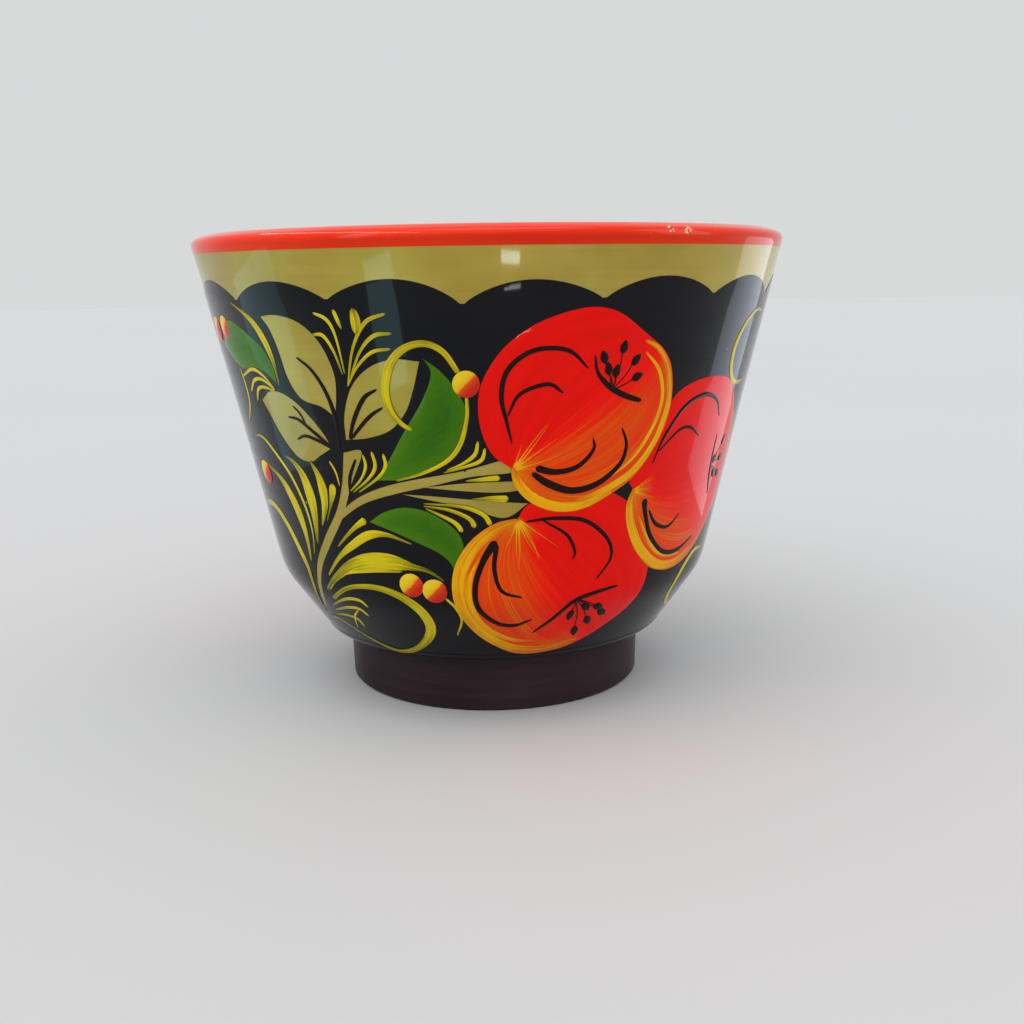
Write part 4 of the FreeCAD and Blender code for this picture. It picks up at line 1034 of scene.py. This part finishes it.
for place_name, turn in (("front", 0), ("back", 180)):
    paint_leaves(place_name, turn)

# %% [markdown]
# ## Camera
# A short lens close to the bowl gives the strong look of a thing held near the eye.  A Track To constraint
# could aim it, but it would always put the target in the middle, so we type in a turn, a tilt and a slight
# roll, and build the camera's three directions from them.

# %% Camera
scene = bpy.context.scene
LENS, SENSOR, NEAREST = 42.4, 36.0, 0.01             # mm, mm, and the nearest thing it sees in metres
EYE = (0, -226.4, 74.7)                              # mm
YAW, PITCH, ROLL = 0.0165, 0.195, -0.0142            # radians to the right, down, and about the view
lens = bpy.data.cameras.new("camera")
lens.lens, lens.sensor_width, lens.clip_start = LENS, SENSOR, NEAREST
camera = bpy.data.objects.new("camera", lens)
scene.collection.objects.link(camera)
ahead = Vector((math.sin(YAW) * math.cos(PITCH), math.cos(YAW) * math.cos(PITCH), -math.sin(PITCH)))
camera.location = Vector(EYE) * MM
camera.rotation_mode = "QUATERNION"
right = ahead.cross(Vector((0, 0, 1))).normalized()
up = right.cross(ahead)
image_right = right * math.cos(ROLL) + up * math.sin(ROLL)
image_up = up * math.cos(ROLL) - right * math.sin(ROLL)
camera.rotation_quaternion = Matrix((image_right, image_up, -ahead)).transposed().to_quaternion()
scene.camera = camera
scene.view_settings.view_transform = "Standard"      # keeps the oil reds as vivid as they are
print("camera", round(Vector(EYE).length), "mm from the foot,", LENS, "mm lens")

# %% [markdown]
# ## Floor
# The bowl stands on a wide sheet of pale matt paper.  A curved backdrop would hide the horizon, but a plain
# plane is enough under an even sky.  Faint clouds in its colour keep it from being a dead flat tint.

# %% Floor
FLOOR_SIZE = 6.0                                     # metres
PAPER = ((0.74, 0.745, 0.755), (0.78, 0.78, 0.785))
bpy.ops.mesh.primitive_plane_add(size=FLOOR_SIZE)
floor = bpy.context.object
floor.name = "floor"
paper = Finish("pale_floor", Roughness=0.7, Specular_IOR_Level=0.2)
paper.set(paper.surface, {"Base_Color": paper.mix(paper.noise(paper.where((1, 1, 1)), 3.0), *PAPER)})
floor.data.materials.append(paper.material)
print("floor", FLOOR_SIZE, "m wide")

# %% [markdown]
# ## Soft light
# Lacquer mirrors what is round it, so much of its look comes from the lamps' shapes.  A box above, a long
# strip for the lip and a tall box at each side show the round of the bowl.  Small dim cards, low down where
# the sloping wall mirrors them, give its broad pale bands and one small glint.  Real white boards would do
# the same, but they would stand in view and shade the floor, so we use area lamps that the camera doesn't
# see and that light only the bowl's pieces.  A very wide sun and a pale sky light everything evenly.

# %% The pieces that the boxes and cards light
bowl_pieces = bpy.data.collections.new("bowl_pieces")
for piece in scene.objects:
    if piece.type == "MESH" and piece != floor:
        bowl_pieces.objects.link(piece)

# %% Boxes and cards: name, place, aim and size in metres, watts, colour
WHITE, COOL, TEAL, BLUISH = (1, 1, 1), (0.9, 0.95, 1.0), (0.4, 0.9, 1.0), (0.75, 0.85, 1.0)
LAMPS = [
    ("sky_box", (0.05, -0.10, 0.70), (0, 0, 0.04), (0.45, 0.30), 0.9, WHITE),
    ("lip_strip", (-0.28, -0.06, 0.45), (0, 0, 0.08), (0.70, 0.035), 1.0, WHITE),
    ("left_box", (-0.45, -0.40, 0.30), (0, 0, 0.05), (0.12, 0.5), 0.6, (0.9, 0.96, 1.0)),
    ("right_box", (0.55, -0.15, 0.30), (0, 0, 0.05), (0.25, 0.5), 0.9, COOL),
    ("low_front_card", (0.019, -0.157, 0.026), (0.004, -0.05, 0.077), (0.016, 0.0030), 0.0024, WHITE),
    ("low_left_card", (-0.110, -0.018, 0.036), (-0.03, -0.03, 0.060), (0.045, 0.045), 0.006,
     (0.35, 0.9, 1.0)),
    ("near_left_card", (-0.075, -0.112, 0.024), (-0.014, -0.046, 0.065), (0.023, 0.030), 0.006, TEAL),
    ("low_right_card", (0.115, 0.025, 0.038), (0.04, -0.03, 0.055), (0.050, 0.070), 0.017, BLUISH),
]


def soft_box(name, spot, target, size, watts, colour):
    light = bpy.data.lights.new(name, "AREA")
    light.shape, light.size, light.size_y = "RECTANGLE", size[0], size[1]
    light.energy, light.color = watts, colour
    lamp = bpy.data.objects.new(name, light)
    scene.collection.objects.link(lamp)
    lamp.location = spot
    lamp.rotation_euler = (Vector(target) - Vector(spot)).to_track_quat("-Z", "Y").to_euler()
    lamp.visible_camera = False
    lamp.light_linking.receiver_collection = bowl_pieces


for lamp in LAMPS:
    soft_box(*lamp)
print(len(LAMPS), "boxes and cards")

# %% Wide sun and pale sky
SUN_STRENGTH, SUN_WIDTH, SUN_TILT = 0.85, 70, (28, -12)     # degrees
SKY = (0.69, 0.695, 0.70, 1)
sun = bpy.data.objects.new("even_daylight", bpy.data.lights.new("even_daylight", "SUN"))
sun.data.energy, sun.data.angle = SUN_STRENGTH, math.radians(SUN_WIDTH)
sun.rotation_euler = (math.radians(SUN_TILT[0]), math.radians(SUN_TILT[1]), 0)
scene.collection.objects.link(sun)
world = bpy.data.worlds.new("pale_room")
world.use_nodes = True
world.node_tree.nodes["Background"].inputs["Color"].default_value = SKY
world.node_tree.nodes["Background"].inputs["Strength"].default_value = 1.0
scene.world = world
print("sun", SUN_WIDTH, "degrees wide, sky", SKY[:3])
